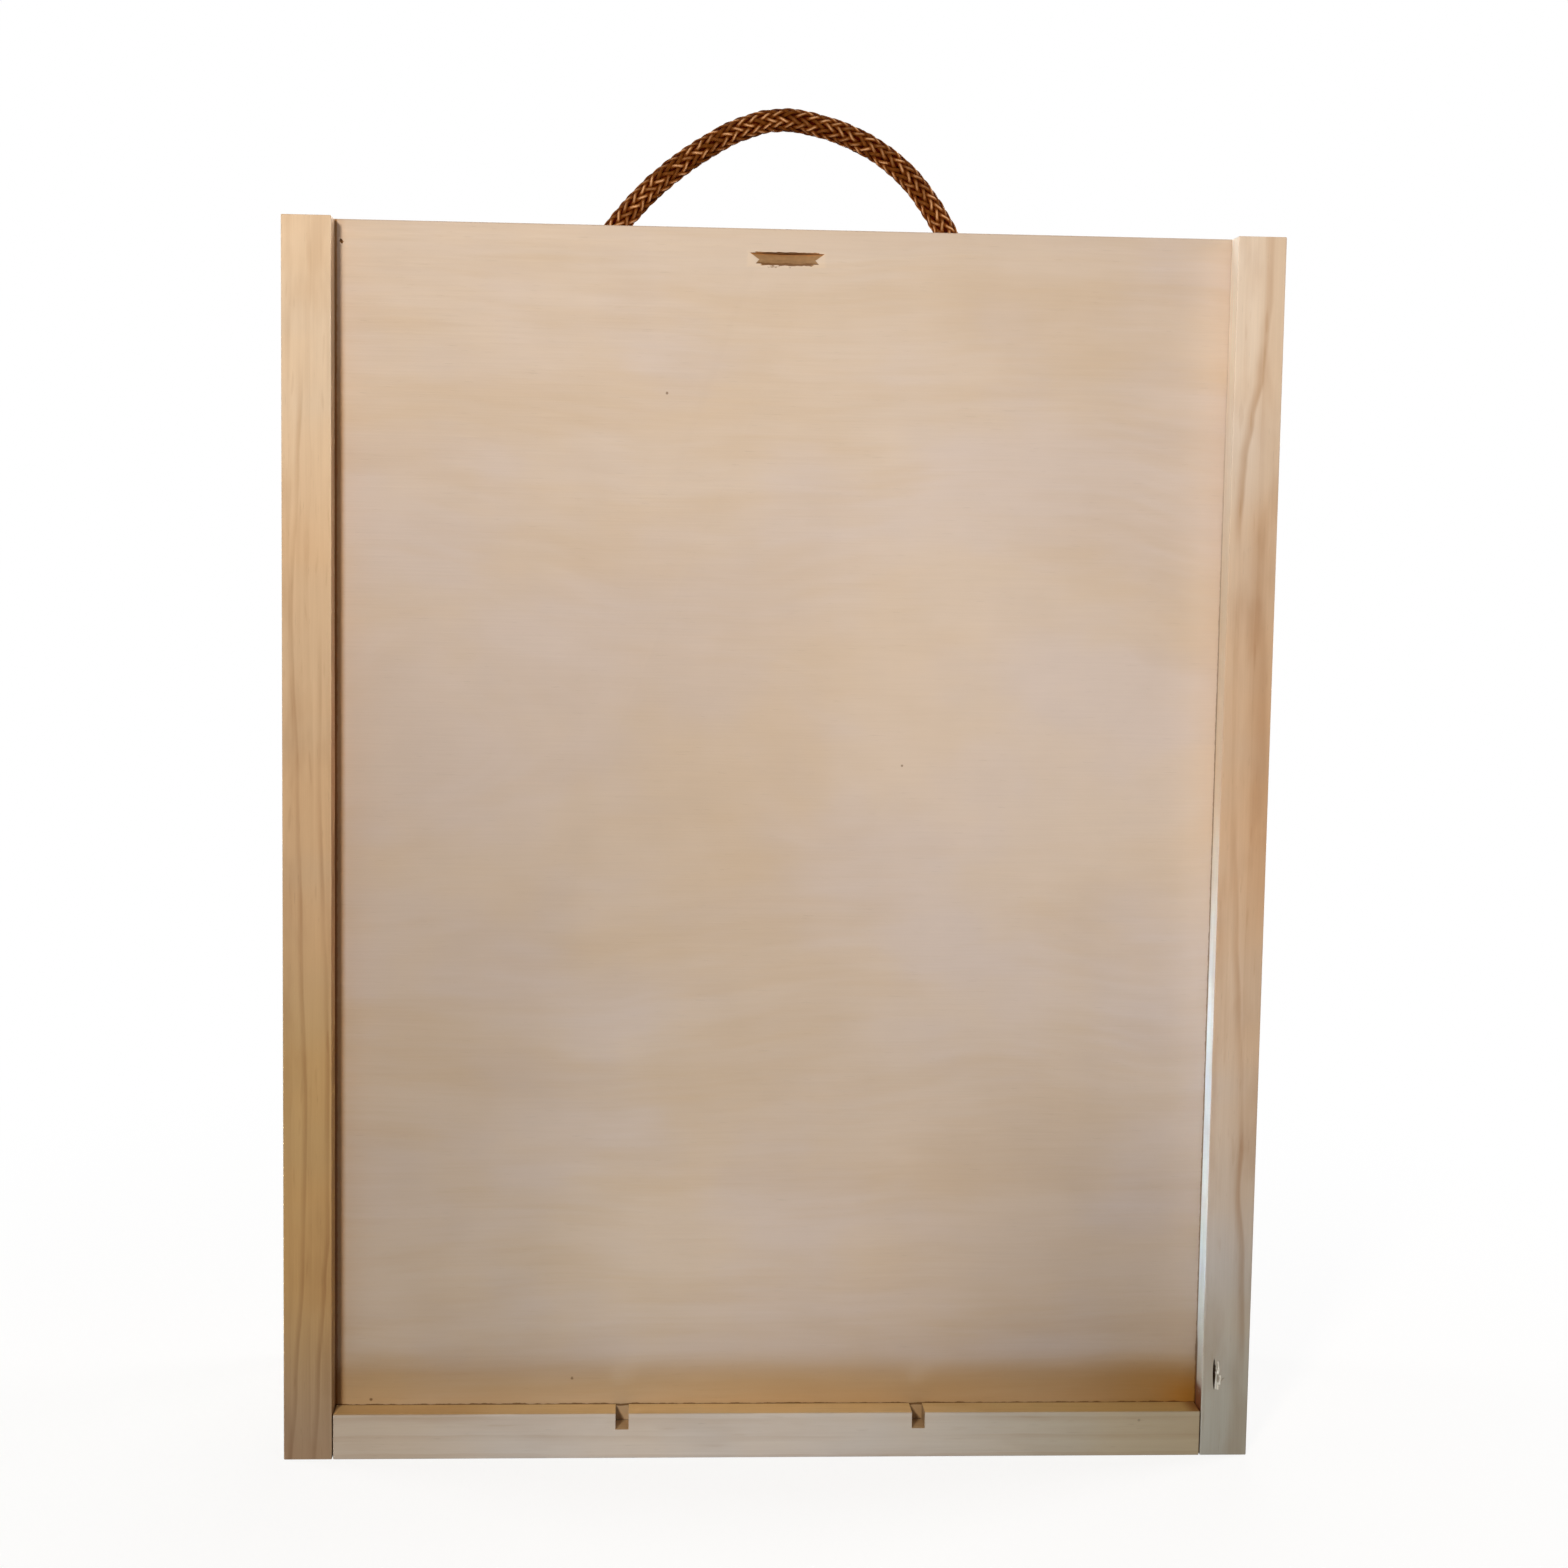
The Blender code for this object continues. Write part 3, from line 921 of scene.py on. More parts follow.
    def braid(
        self, name: str, line: Centreline, start: float, end: float, step: float, sides: int
    ) -> bpy.types.Object:
        """Braids one stretch of the rope, two over and two under, round a plain core that takes the yarn's
        painted shade.

        Args:
            name: the piece's name.
            line: the rope's middle.
            start: where the stretch starts along it.
            end: where it ends.
            step: distance between rings.
            sides: corners of each strand's section.

        Returns:
            The piece.
        """
        outer = self.diameter / 2 + self.proud
        middle = outer - self.strand_half_height - self.wave - self.crown - self.stray / 4
        pitch = math.tau * middle / math.tan(math.radians(self.lay_degrees))
        size = (self.strand_half_width, self.strand_half_height)
        runs = np.linspace(start, end, max(2, round((end - start) / step)))
        tubes = TubeMesh()
        draws = np.random.default_rng(self.seed)
        for direction in (1, -1):
            for strand in range(self.strands):
                phase = math.pi * (self.strands * runs / pitch + strand - 0.5 + direction / 4)
                swing = np.cos(phase)
                over = np.tanh(self.flatness * swing) / math.tanh(self.flatness)
                height = middle + self.wave * over + self.crown + self.wander(draws, runs) / 3
                aside = direction * self.bow * np.sin(2 * phase) + self.wander(draws, runs)
                turns = math.tau * (strand / self.strands + direction * runs / pitch) + aside / middle
                points = line.around(runs, turns, height)
                out = points - line.at(line.points, runs)
                float_tones = draws.random(self.most_floats)
                tone = float_tones[np.floor(phase / math.tau + 0.5).astype(int)]
                mark = np.stack([tone, 0.5 + 0.5 * swing, runs + draws.random()], axis=1)
                tubes.add(points, out, size, mark, sides)
        core_runs = np.linspace(start, end, max(2, round((end - start) / (self.core_steps * step))))
        core_size = (self.core_share * outer, self.core_share * outer)
        # Marks of zero give the core the yarn's painted crevice shade
        dark = np.zeros((len(core_runs), 3))
        core, lift = line.at(line.points, core_runs), line.at(line.lift, core_runs)
        tubes.add(core, lift, core_size, dark, self.core_sides)
        piece = new_object(name, tubes.mesh(name))
        piece.data.materials.append(self.yarn_material)
        return piece

    def build(self) -> list[bpy.types.Object]:
        """Makes the arch and both knots, and hides the solids that they stand for.

        Returns:
            The three pieces.
        """
        self.yarn_material = self.yarn.material()
        line, arch_from, arch_to = self.route()
        knot = (self.knot_step, self.knot_sides)
        arch = self.braid("rope_arch", line, arch_from, arch_to, self.arch_step, self.arch_sides)
        left = self.braid("rope_tail_left", line, 0.0, arch_from, *knot)
        right = self.braid("rope_tail_right", line, arch_to, line.length, *knot)
        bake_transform(arch)
        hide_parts("rope_handle")
        inside = (line.run >= arch_from) & (line.run <= arch_to)
        path = line.points[inside]
        for piece, node in ((left, "rope_knot_left"), (right, "rope_knot_right")):
            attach(piece, "box")
            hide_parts(node)
        [tuple(point) for point in path[::6].tolist()] + [tuple(path[-1].tolist())]
        return [arch, left, right]


class Mark:
    """What wear leaves on a board's front, as a solid that follows a row of sections."""

    def sections(self, box: Box) -> list[list[Point]]:
        """Draws the sections.

        Args:
            box: the board's lowest and highest corners.

        Returns:
            The corners of each section.
        """
        raise NotImplementedError

    def solid(self, name: str, box: Box) -> bpy.types.Object:
        """Joins the sections into one closed solid.

        Args:
            name: the solid's name.
            box: the board's lowest and highest corners.

        Returns:
            The solid, facing outwards.
        """
        sections = np.array(self.sections(box))
        rows, corners = sections.shape[:2]
        faces = [tuple(range(corners)), tuple(range((rows - 1) * corners, rows * corners))]
        for row in range(rows - 1):
            for corner in range(corners):
                low, high = row * corners + corner, row * corners + (corner + 1) % corners
                faces.append((low, high, high + corners, low + corners))
        mesh = bpy.data.meshes.new(name)
        mesh.from_pydata(sections.reshape(-1, 3).tolist(), [], faces)
        work = bmesh.new()
        work.from_mesh(mesh)
        bmesh.ops.recalc_face_normals(work, faces=work.faces)
        work.to_mesh(mesh)
        work.free()
        return new_object(name, mesh)


@dataclass(frozen=True)
class Gouge(Mark):
    """A ragged tear with one steep wall, one shallow one and tapered ends, given as x and z."""

    high: tuple[float, float]
    low: tuple[float, float]
    width: float
    depth: float
    lean: float
    rows: int = 17
    clear: float = 1 * MM
    blunt: float = 0.06
    seed: int = 11

    def sections(self, box: Box) -> list[list[Point]]:
        """Draws the sections from the high end to the low one.

        Args:
            box: the board's lowest and highest corners.

        Returns:
            The corners of each section.
        """
        draws = np.random.default_rng(self.seed)
        front = box[0][1]
        above = front - self.clear
        sections = []
        for share in np.linspace(0.0, 1.0, self.rows):
            x, z = (start + (end - start) * share for start, end in zip(self.high, self.low))
            size = max(self.blunt, math.sin(math.pi * share) ** 0.6)
            left = x - self.lean * self.width * size
            right = x + (1 - self.lean) * self.width * size * draws.uniform(0.7, 1.3)
            deep = front + self.depth * size * draws.uniform(0.8, 1.2)
            ring = ((left, front), (left, above), (right, above), (right, front), (x, deep))
            sections.append([(at, y, z) for at, y in ring])
        return sections


@dataclass(frozen=True)
class Splinter(Mark):
    """A torn fibre that stands up from the front, with its foot and tip given as x and z."""

    foot: tuple[float, float]
    tip: tuple[float, float]
    width: float
    lift: float
    root: float = 0.15 * MM
    taper: tuple[tuple[float, float], ...] = ((0.0, 1.0), (0.35, 0.9), (0.7, 0.6), (1.0, 0.12))

    def sections(self, box: Box) -> list[list[Point]]:
        """Draws the sections from the root in the board to the tip.

        Args:
            box: the board's lowest and highest corners.

        Returns:
            The corners of each section.
        """
        bottom = box[0][1] + self.root
        sections = []
        for share, size in self.taper:
            x, z = (start + (end - start) * share for start, end in zip(self.foot, self.tip))
            y = bottom - (self.lift + self.root) * share**0.6
            half = self.width * size / 2
            sections.append([(x - half, y + half, z), (x, y - half / 2, z), (x + half, y + half, z)])
        return sections


@dataclass(frozen=True)
class TornLip(Mark):
    """A ragged strip torn along a level edge of the lid's thumb pull, deepest in its middle.

    The edge is how far it is below the lid's top. A strip with a negative reach is torn downwards.
    """

    half_length: float
    edge: float
    reach: float
    depth: float
    rows: int = 25
    clear: float = 0.6 * MM
    blunt: float = 0.04
    seed: int = 5

    def sections(self, box: Box) -> list[list[Point]]:
        """Draws the sections from the left end to the right one.

        Args:
            box: the board's lowest and highest corners.

        Returns:
            The corners of each section.
        """
        draws = np.random.default_rng(self.seed)
        front, edge = box[0][1], box[1][2] - self.edge
        above, near = front - self.clear, edge - self.reach
        sections = []
        for share in np.linspace(-1.0, 1.0, self.rows):
            deep = front + self.depth * max(self.blunt, 1 - share * share)
            far = edge + self.reach * draws.uniform(0.55, 1.0)
            ring = ((above, near), (above, far), (deep, far), (deep, near))
            sections.append([(share * self.half_length, y, z) for y, z in ring])
        return sections


@dataclass
class Boards:
    """The boards and panels, each of its own timber. Worn ones are carved from their solids.

    The place of a worn board is its body and its slot.
    """

    finishes: Mapping[str, Timber]
    wear: Mapping[str, Sequence[Mark]]
    splinters: Mapping[str, Sequence[Mark]]
    places: Mapping[str, tuple[str, str]]
    rounded: tuple[str, ...] = ("sliding_lid",)
    crease_degrees: float = 25.0
    weld: float = 0.001 * MM

    def carve(self, node: str) -> bpy.types.Object:
        """Copies a board's solid and cuts its wear into the copy.

        Args:
            node: the board's node.

        Returns:
            The carved board, which stands for the node.
        """
        solid = new_object(f"{node}_worn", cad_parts[node].data.copy())
        work = bmesh.new()
        work.from_mesh(solid.data)
        bmesh.ops.remove_doubles(work, verts=work.verts, dist=self.weld)
        work.to_mesh(solid.data)
        work.clear()
        for number, mark in enumerate(self.wear[node]):
            tool = mark.solid(f"{node}_tool_{number}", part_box(node))
            cut = solid.modifiers.new(tool.name, "BOOLEAN")
            cut.operation = "DIFFERENCE"
            cut.solver = "EXACT"
            cut.object = tool
            graph = bpy.context.evaluated_depsgraph_get()
            carved = bpy.data.meshes.new_from_object(solid.evaluated_get(graph))
            solid.modifiers.clear()
            solid.data = carved
            bpy.data.objects.remove(tool)
        work.from_mesh(solid.data)
        for number, splinter in enumerate(self.splinters.get(node, ())):
            fibre = splinter.solid(f"{node}_fibre_{number}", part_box(node))
            work.from_mesh(fibre.data)
            bpy.data.objects.remove(fibre)
        work.to_mesh(solid.data)
        work.free()
        self.shade(node, solid.data)
        body, slot = self.places[node]
        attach(solid, body)
        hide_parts(node)
        return solid

    def shade(self, node: str, mesh: bpy.types.Mesh) -> None:
        """Shades a carved board flat, or smooth between its creases where it has round forms.

        Args:
            node: the board's node.
            mesh: its carved mesh, which loses the normals that it was imported with.
        """
        if "custom_normal" in mesh.attributes:
            mesh.attributes.remove(mesh.attributes["custom_normal"])
        if node in self.rounded:
            mesh.shade_smooth()
            mesh.set_sharp_from_angle(angle=math.radians(self.crease_degrees))
        else:
            mesh.shade_flat()

    def dress(self) -> None:
        """Gives each board its finish, after its wear is cut."""
        for node, finish in self.finishes.items():
            material = finish.material(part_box(node))
            put_on(node, material)
            if node in self.wear:
                solid = self.carve(node)
                solid.data.materials.clear()
                solid.data.materials.append(material)
                LOG.info("piece %s: %d faces", solid.name, len(solid.data.polygons))
            LOG.info("board %s: %s", node, finish.name)


def put_on(node: str, material: bpy.types.Material) -> None:
    """Gives a node of the frame one material.

    Args:
        node: the node's name.
        material: its only material.
    """
    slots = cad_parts[node].data.materials
    slots.clear()
    slots.append(material)


@dataclass
class Nails:
    """Corner nails and back brads."""

    steel: NailSteel = field(default_factory=NailSteel)
    prefixes: tuple[str, ...] = ("corner_nail_", "back_brad_")

    def dress(self) -> None:
        """Gives every nail and brad the steel finish."""
        material = self.steel.material()
        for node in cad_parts:
            if node.startswith(self.prefixes):
                put_on(node, material)
                LOG.info("nail %s", node)


@dataclass(frozen=True)
class Lamp:
    """One soft oblong lamp."""

    name: str
    at: Point
    aim: Point
    power: float
    size: tuple[float, float]
    colour: Colour = (1.0, 1.0, 1.0)
    spread_degrees: float = 180.0

    def hang(self) -> None:
        """Adds the lamp to the scene."""
        data = bpy.data.lights.new(self.name, "AREA")
        data.energy = self.power
        data.shape = "RECTANGLE"
        data.size, data.size_y = self.size
        data.spread = math.radians(self.spread_degrees)
        data.color = self.colour
        made = bpy.data.objects.new(self.name, data)
        bpy.context.scene.collection.objects.link(made)
        made.location = self.at
        way = Vector(self.aim) - Vector(self.at)
        made.rotation_euler = way.to_track_quat("-Z", "Y").to_euler()


@dataclass
class Studio:
    """Camera, lamps, backdrop and floor. A cool lamp shines up through the floor, as on a light table."""

    camera_at: Point = (-0.04356, -0.79332, 0.27223)
    camera_degrees: Point = (84.5256, -0.9163, -3.3364)
    lens: float = 59.324
    sensor: float = 36.0
    nearest: float = 0.01
    lamps: tuple[Lamp, ...] = (
        Lamp("key", (-0.36, -1.10, 0.60), (0.0, -0.05, 0.20), 9.6, (0.12, 0.12), (1.0, 0.88, 0.70)),
        Lamp("fill", (0.45, -0.85, 0.70), (0.0, -0.05, 0.20), 1.3, (0.45, 0.45), (1.0, 0.90, 0.74)),
        Lamp("table", (-0.20, -0.60, -0.85), (0.0, -0.05, 0.02), 5.2, (0.9, 0.22), (0.55, 0.76, 1.0)),
        Lamp("side", (-1.25, -0.15, 0.05), (0.13, -0.045, 0.06), 0.08, (0.14, 0.14), (0.72, 0.90, 1.0), 14.0),
        Lamp("edge", (1.25, -0.15, 0.24), (-0.128, -0.045, 0.19), 0.03, (0.14, 0.14), (1.0, 0.9, 0.76), 16.0),
        Lamp("left", (-1.2, 0.4, 0.8), (0.0, 0.0, 0.18), 7.0, (0.5, 0.5)),
        Lamp("right", (1.2, 0.4, 0.8), (0.0, 0.0, 0.18), 10.0, (0.5, 0.5)),
        Lamp("back", (0.3, 1.6, 0.6), (0.0, 0.05, 0.18), 14.0, (0.8, 0.8)),
    )
    sky: float = 0.08
    white: Colour = (1.0, 1.0, 1.0)
    floor_half: float = 4.0
    floor_pale: Colour = (0.95, 0.95, 0.95)
    floor_dark: Colour = (0.10, 0.10, 0.10)
    floor_glow: float = 0.85
    shadow_reach: tuple[float, float] = (0.10, 0.55)

    def camera(self) -> None:
        """Sets up the camera."""
        data = bpy.data.cameras.new("camera")
        data.sensor_width = self.sensor
        data.sensor_height = self.sensor
        data.lens = self.lens
        data.clip_start = self.nearest
        made = bpy.data.objects.new("camera", data)
        bpy.context.scene.collection.objects.link(made)
        made.location = self.camera_at
        made.rotation_euler = tuple(math.radians(angle) for angle in self.camera_degrees)
        bpy.context.scene.camera = made

    def seen(self, shader: Shader) -> Value:
        """Finds the rays that show the background: from the camera, a mirror or glass.

        Args:
            shader: the tree to write in.

        Returns:
            1 for those rays and 0 for others.
        """
        made = shader.node("ShaderNodeLightPath").socket.node.outputs
        rays = ("Is Camera Ray", "Is Glossy Ray", "Is Transmission Ray")
        camera, glossy, glass = (Value(shader, made[name]) for name in rays)
        return camera.most(glossy).most(glass)

    def backdrop(self) -> None:
        """Lights the scene evenly and shows white behind it."""
        world = bpy.data.worlds.new("backdrop")
        world.use_nodes = True
        shader = Shader(world.node_tree)
        light = shader.node("ShaderNodeBackground", sockets={"Color": self.white, "Strength": self.sky})
        white = shader.node("ShaderNodeBackground", sockets={"Color": self.white, "Strength": 1.0})
        mixed = shader.node("ShaderNodeMixShader", sockets={0: self.seen(shader), 1: light, 2: white})
        shader.end(mixed, "ShaderNodeOutputWorld")
        bpy.context.scene.world = world

    def floor(self) -> None:
        """Lays a white floor that keeps the box's shadow but throws little light back up."""
        mesh = bpy.data.meshes.new("floor")
        half, low = self.floor_half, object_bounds()[0][2]
        corners = [(-half, -half, low), (half, -half, low), (half, half, low), (-half, half, low)]
        mesh.from_pydata(corners, [], [(0, 1, 2, 3)])
        floor = new_object("floor", mesh)
        material, shader = Shader.of_material("floor_white")
        x, y, z = shader.place()
        away = (x * x + y * y) ** 0.5
        share = away.rise(*self.shadow_reach) * (1 - self.floor_glow) + self.floor_glow
        matt = shader.node("ShaderNodeBsdfDiffuse", sockets={"Color": self.floor_pale})
        glow = shader.node("ShaderNodeEmission", sockets={"Color": self.white, "Strength": 1.0})
        shown = shader.node("ShaderNodeMixShader", sockets={0: share, 1: matt, 2: glow})
        dark = shader.node("ShaderNodeBsdfDiffuse", sockets={"Color": self.floor_dark})
        mixed = shader.node("ShaderNodeMixShader", sockets={0: self.seen(shader), 1: dark, 2: shown})
        shader.end(mixed)
        mesh.materials.append(material)
        floor.visible_shadow = False
        floor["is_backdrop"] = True

    def build(self) -> None:
        """Sets up everything that isn't part of the box."""
        self.camera()
        for lamp in self.lamps:
            lamp.hang()
        self.backdrop()
        self.floor()
        bpy.context.scene.view_settings.view_transform = "Standard"


TAN, BROWN = paint(231, 200, 167), paint(164, 119, 73)
PINK, ROSE = paint(226, 206, 187), paint(176, 136, 99)
FACE, FLAME = paint(217, 200, 190), paint(209, 186, 164)
DRAB, UMBER = paint(197, 186, 177), paint(166, 142, 120)


def painted_fades_up(*rows: tuple[float, float, Colour]) -> tuple[PaintedFade, ...]:
    """Makes painted fades of light and shade up or down a board, each from where it starts, where it is full,
    and its tint.
    """
    return tuple(PaintedFade((0.0, 0.0, start), (0.0, 0.0, full), tint) for start, full, tint in rows)


def bottom_stains_and_shade() -> tuple[StainAndPaintedLight, ...]:
    """Tints the saw's brown faces on the bottom end, the top of its lip and its divider slots, and paints
    shade in the lip's corner by the right side.

    Returns:
        The stains and the painted shade.
    """
    low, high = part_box("bottom_end")
    top = high[2] - 0.15 * MM
    behind = low[1] + 0.25 * MM
    lip = StainAndPaintedLight((low[0], behind, top), (high[0], high[1], top + MM), (1.20, 0.98, 0.58))
    # Painted shade in the lip's corner against the right side
    corner = StainAndPaintedLight(
        (high[0] - 3 * MM, behind, top), (high[0] + MM, high[1], top + MM),
        (0.60, 0.44, 0.32), 0.0, (4 * MM, 0.1 * MM, 0.1 * MM),
    )
    stains_and_painted_light = [lip, corner]
    for node in ("divider_left", "divider_right"):
        slat_low, slat_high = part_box(node)
        middle = (slat_low[0] + slat_high[0]) / 2
        start = (middle - 2 * MM, low[1] + 0.1 * MM, high[2] - 5 * MM)
        stains_and_painted_light.append(StainAndPaintedLight(start, (middle + 2 * MM, high[1], top), (0.84, 0.68, 0.46)))
    return tuple(stains_and_painted_light)


def lid_painted_light() -> tuple[StainAndPaintedLight, ...]:
    """Tints the lid with painted light and shade: shade near its foot and in its lower right corner, a pool
    of light low in the middle, cool light low on the left, shade lines where it meets the bottom lip and its
    grooves, and the shadow of the left side's lip.

    Returns:
        The painted light and shade, with that of the pull.
    """
    low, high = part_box("sliding_lid")
    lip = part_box("bottom_end")[1][2]
    left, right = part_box("left_side")[1][0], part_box("right_side")[0][0]
    front, back = low[1] - MM, low[1] + 0.5 * MM
    start, corner = (low[0], front, 0.0), (0.10, front, 0.0)
    fine = (0.3 * MM, 0.3 * MM, 0.3 * MM)
    long = (0.3 * MM, 0.3 * MM, 0.14)
    return (
        # Painted shade near the lid's foot, warmer nearest the bottom lip
        StainAndPaintedLight(start, (high[0], back, lip + 22 * MM), (0.93, 0.92, 0.90), 0.0, (MM, MM, 36 * MM)),
        StainAndPaintedLight(start, (high[0], back, lip + 11 * MM), (1.04, 0.94, 0.70), 0.0, (MM, MM, 13 * MM)),
        # A painted pool of light low in the middle
        StainAndPaintedLight((-0.045, front, 0.0), (0.065, back, 0.09), (1.18, 1.16, 1.13), 0.0, (0.08, MM, 0.09)),
        # Painted shade in the lower right corner
        StainAndPaintedLight(corner, (high[0], back, lip + 13 * MM), (0.80, 0.65, 0.38), 0.0, (0.05, MM, 13 * MM)),
        StainAndPaintedLight(
            (right - 8 * MM, front, 0.0), (high[0], back, lip + 7 * MM), (1.02, 0.78, 0.30), 0.0,
            (16 * MM, MM, 10 * MM),
        ),
        # Painted shade lines where the lid meets the bottom lip and the right side's groove
        StainAndPaintedLight((left, front, lip - 0.5 * MM), (right, back, lip + 0.2 * MM), (0.36, 0.28, 0.20), MM, fine),
        StainAndPaintedLight((right - 0.3 * MM, front, -0.1), (high[0], back, 0.27), (0.50, 0.43, 0.36), 0.6 * MM, long),
        # The painted shadow of the left side's lip, and a painted shade line in its groove
        StainAndPaintedLight(start, (left + 2.5 * MM, back, 0.34), (0.66, 0.46, 0.26), 0.3 * MM, (2.0 * MM, MM, 0.10)),
        StainAndPaintedLight(start, (left + 0.7 * MM, back, high[2]), (0.66, 0.46, 0.26), 0.5 * MM, fine),
        # Painted cool light low on the left
        StainAndPaintedLight(start, (-0.04, back, lip + 10 * MM), (1.08, 1.17, 1.38), 0.0, (0.07, MM, 10 * MM)),
        *pull_painted_light(),
    )


def pull_painted_light() -> tuple[StainAndPaintedLight, ...]:
    """Tints the lid's thumb pull with painted light in the shadow under its top edge, painted shade along its
    foot, and a painted highlight round it.

    Returns:
        The painted light and shade.
    """
    low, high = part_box("sliding_lid")
    front, top, foot = low[1], high[2] - PULL_TOP, high[2] - PULL_FOOT
    wide, under, deep = 11 * MM, front + 0.1 * MM, front + 5 * MM
    soft = (0.4 * MM, 0.05 * MM, 0.35 * MM)
    return (
        # Painted light, warm, in the shadow under the pull's top edge
        StainAndPaintedLight((-wide, under, top - 0.5 * MM), (wide, deep, top + MM), (1.10, 0.86, 0.62), 0.7 * MM, soft),
        # Painted shade along the pull's foot
        StainAndPaintedLight((-wide, under, foot - MM), (wide, deep, foot + 0.35 * MM), (0.55, 0.46, 0.38), 0.7 * MM, soft),
        # A painted highlight round the pull on the lid's face
        StainAndPaintedLight(
            (-wide - 0.6 * MM, front - MM, foot - 0.9 * MM), (wide, under, top + 0.5 * MM),
            (1.07, 1.06, 1.03), 0.8 * MM, (1.2 * MM, 0.05 * MM, 0.8 * MM),
        ),
    )


def right_stains_and_painted_light() -> tuple[StainAndPaintedLight, ...]:
    """Tints the face inside the right side's lip with painted cool light, darker and redder at its foot, with
    a painted shade line where it meets the lid, and the wood of its tear, with painted shade in its slit.

    Returns:
        The stains and the painted light and shade.
    """
    inner, front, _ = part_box("right_side")[0]
    lid_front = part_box("sliding_lid")[0][1]
    outside, inside = inner - MM, inner + 0.2 * MM
    behind, back = front + 0.25 * MM, front + 9 * MM
    # Painted cool light on the face inside the lip, band by band up it
    faces = (
        (0.27, 0.50, (1.26, 1.36, 1.40), 0.08),
        (0.18, 0.27, (1.20, 1.38, 1.50), 0.08),
        (0.095, 0.18, (1.36, 1.90, 2.60), 0.05),
        (0.033, 0.095, (1.34, 1.60, 1.80), 0.03),
        (-0.1, 0.033, (1.12, 1.12, 1.14), 0.03),
    )
    pale = [
        StainAndPaintedLight((outside, behind, low), (inside, back, high), tint, 0.0, (0.1 * MM, 0.1 * MM, soft))
        for low, high, tint, soft in faces
    ]
    # Darker and redder on the lowest part of the face
    dark_foot = StainAndPaintedLight(
        (outside, front + 0.6 * MM, 0.0), (inside, back, 20.5 * MM),
        (0.27, 0.07, 0.006), 0.8 * MM, (0.2 * MM, 0.6 * MM, 3 * MM),
    )
    # A painted shade line where the face meets the lid
    line = StainAndPaintedLight(
        (outside, lid_front - 1.6 * MM, 0.0), (inside, lid_front + MM, 34 * MM),
        (0.30, 0.16, 0.06), 0.5 * MM, (0.2 * MM, 0.8 * MM, 8 * MM),
    )
    # Painted shade in the tear's slit
    slit_shade = StainAndPaintedLight(
        (131.7 * MM, behind, 19.6 * MM), (133.2 * MM, front + 3 * MM, 30 * MM),
        (0.14, 0.09, 0.05), 0.0, (0.2 * MM, 0.3 * MM, 0.4 * MM),
    )
    half = 0.28 * MM
    slivers = ((133.15, 20.4, 25.6), (133.8, 25.0, 28.9), (134.4, 21.8, 24.6), (133.8, 20.2, 22.4))
    fresh = [
        StainAndPaintedLight(
            (x * MM - half, front - MM, low * MM), (x * MM + half, front + 0.6 * MM, high * MM),
            (1.95, 2.02, 2.15), 0.9 * MM, (0.2 * MM, 0.25 * MM, 0.5 * MM),
        )
        for x, low, high in slivers
    ]
    return *pale, dark_foot, line, slit_shade, *fresh


def left_finish() -> Pine:
    """Chooses the left side's timber: tan pine with two bold lines, painted shade inside its lip, painted
    fades of light and shade, and a painted highlight on its arrises.

    Returns:
        The finish.
    """
    low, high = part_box("left_side")
    start, end = (high[0] - 0.2 * MM, low[1] + 0.25 * MM), (high[0] + MM, low[1] + 10 * MM)
    soft = (0.1 * MM, 0.1 * MM, 0.12)
    # Painted shade on the face inside the lip, darker in its upper part
    stains_and_painted_light = (
        StainAndPaintedLight((*start, -0.1), (*end, 0.24), (1.00, 0.90, 0.80), 0.0, soft),
        StainAndPaintedLight((*start, 0.24), (*end, 0.50), (0.84, 0.76, 0.68), 0.0, soft),
    )
    # Painted fades of light and shade up the front: darker and cooler low down
    painted_fades = painted_fades_up(
        (0.40, 0.03, (0.49, 0.42, 0.32)),
        (0.25, 0.31, (1.01, 1.10, 1.24)),
        (0.17, 0.11, (0.98, 0.95, 0.73)),
        (0.055, 0.0, (0.75, 0.81, 1.20)),
    )
    outer = (
        (312.0, -137.3), (290.0, -138.4), (248.0, -140.1), (230.0, -139.8), (200.0, -138.8),
        (156.0, -137.7), (99.0, -136.4), (58.0, -137.3), (22.0, -139.2), (-10.0, -141.6),
    )
    inner = (
        (240.0, -132.0), (197.0, -132.6), (161.0, -131.4), (140.0, -130.4), (110.0, -130.0),
        (67.0, -130.1), (53.0, -131.1), (22.0, -132.7), (-10.0, -134.4),
    )
    # Its arrises get a painted highlight
    return Pine(
        "pine_left", Grain.UPRIGHT, TAN, BROWN, 3.1, arris_grime_and_highlight=(1.07, 1.09, 1.12), painted_fades=painted_fades,
        painted_fade_depth=SIDE_PAINTED_FADE, stains_and_painted_light=stains_and_painted_light, pith=(-0.2019, -0.05), contrast=0.10,
        lines=(LateWood(outer), LateWood(inner)),
    )


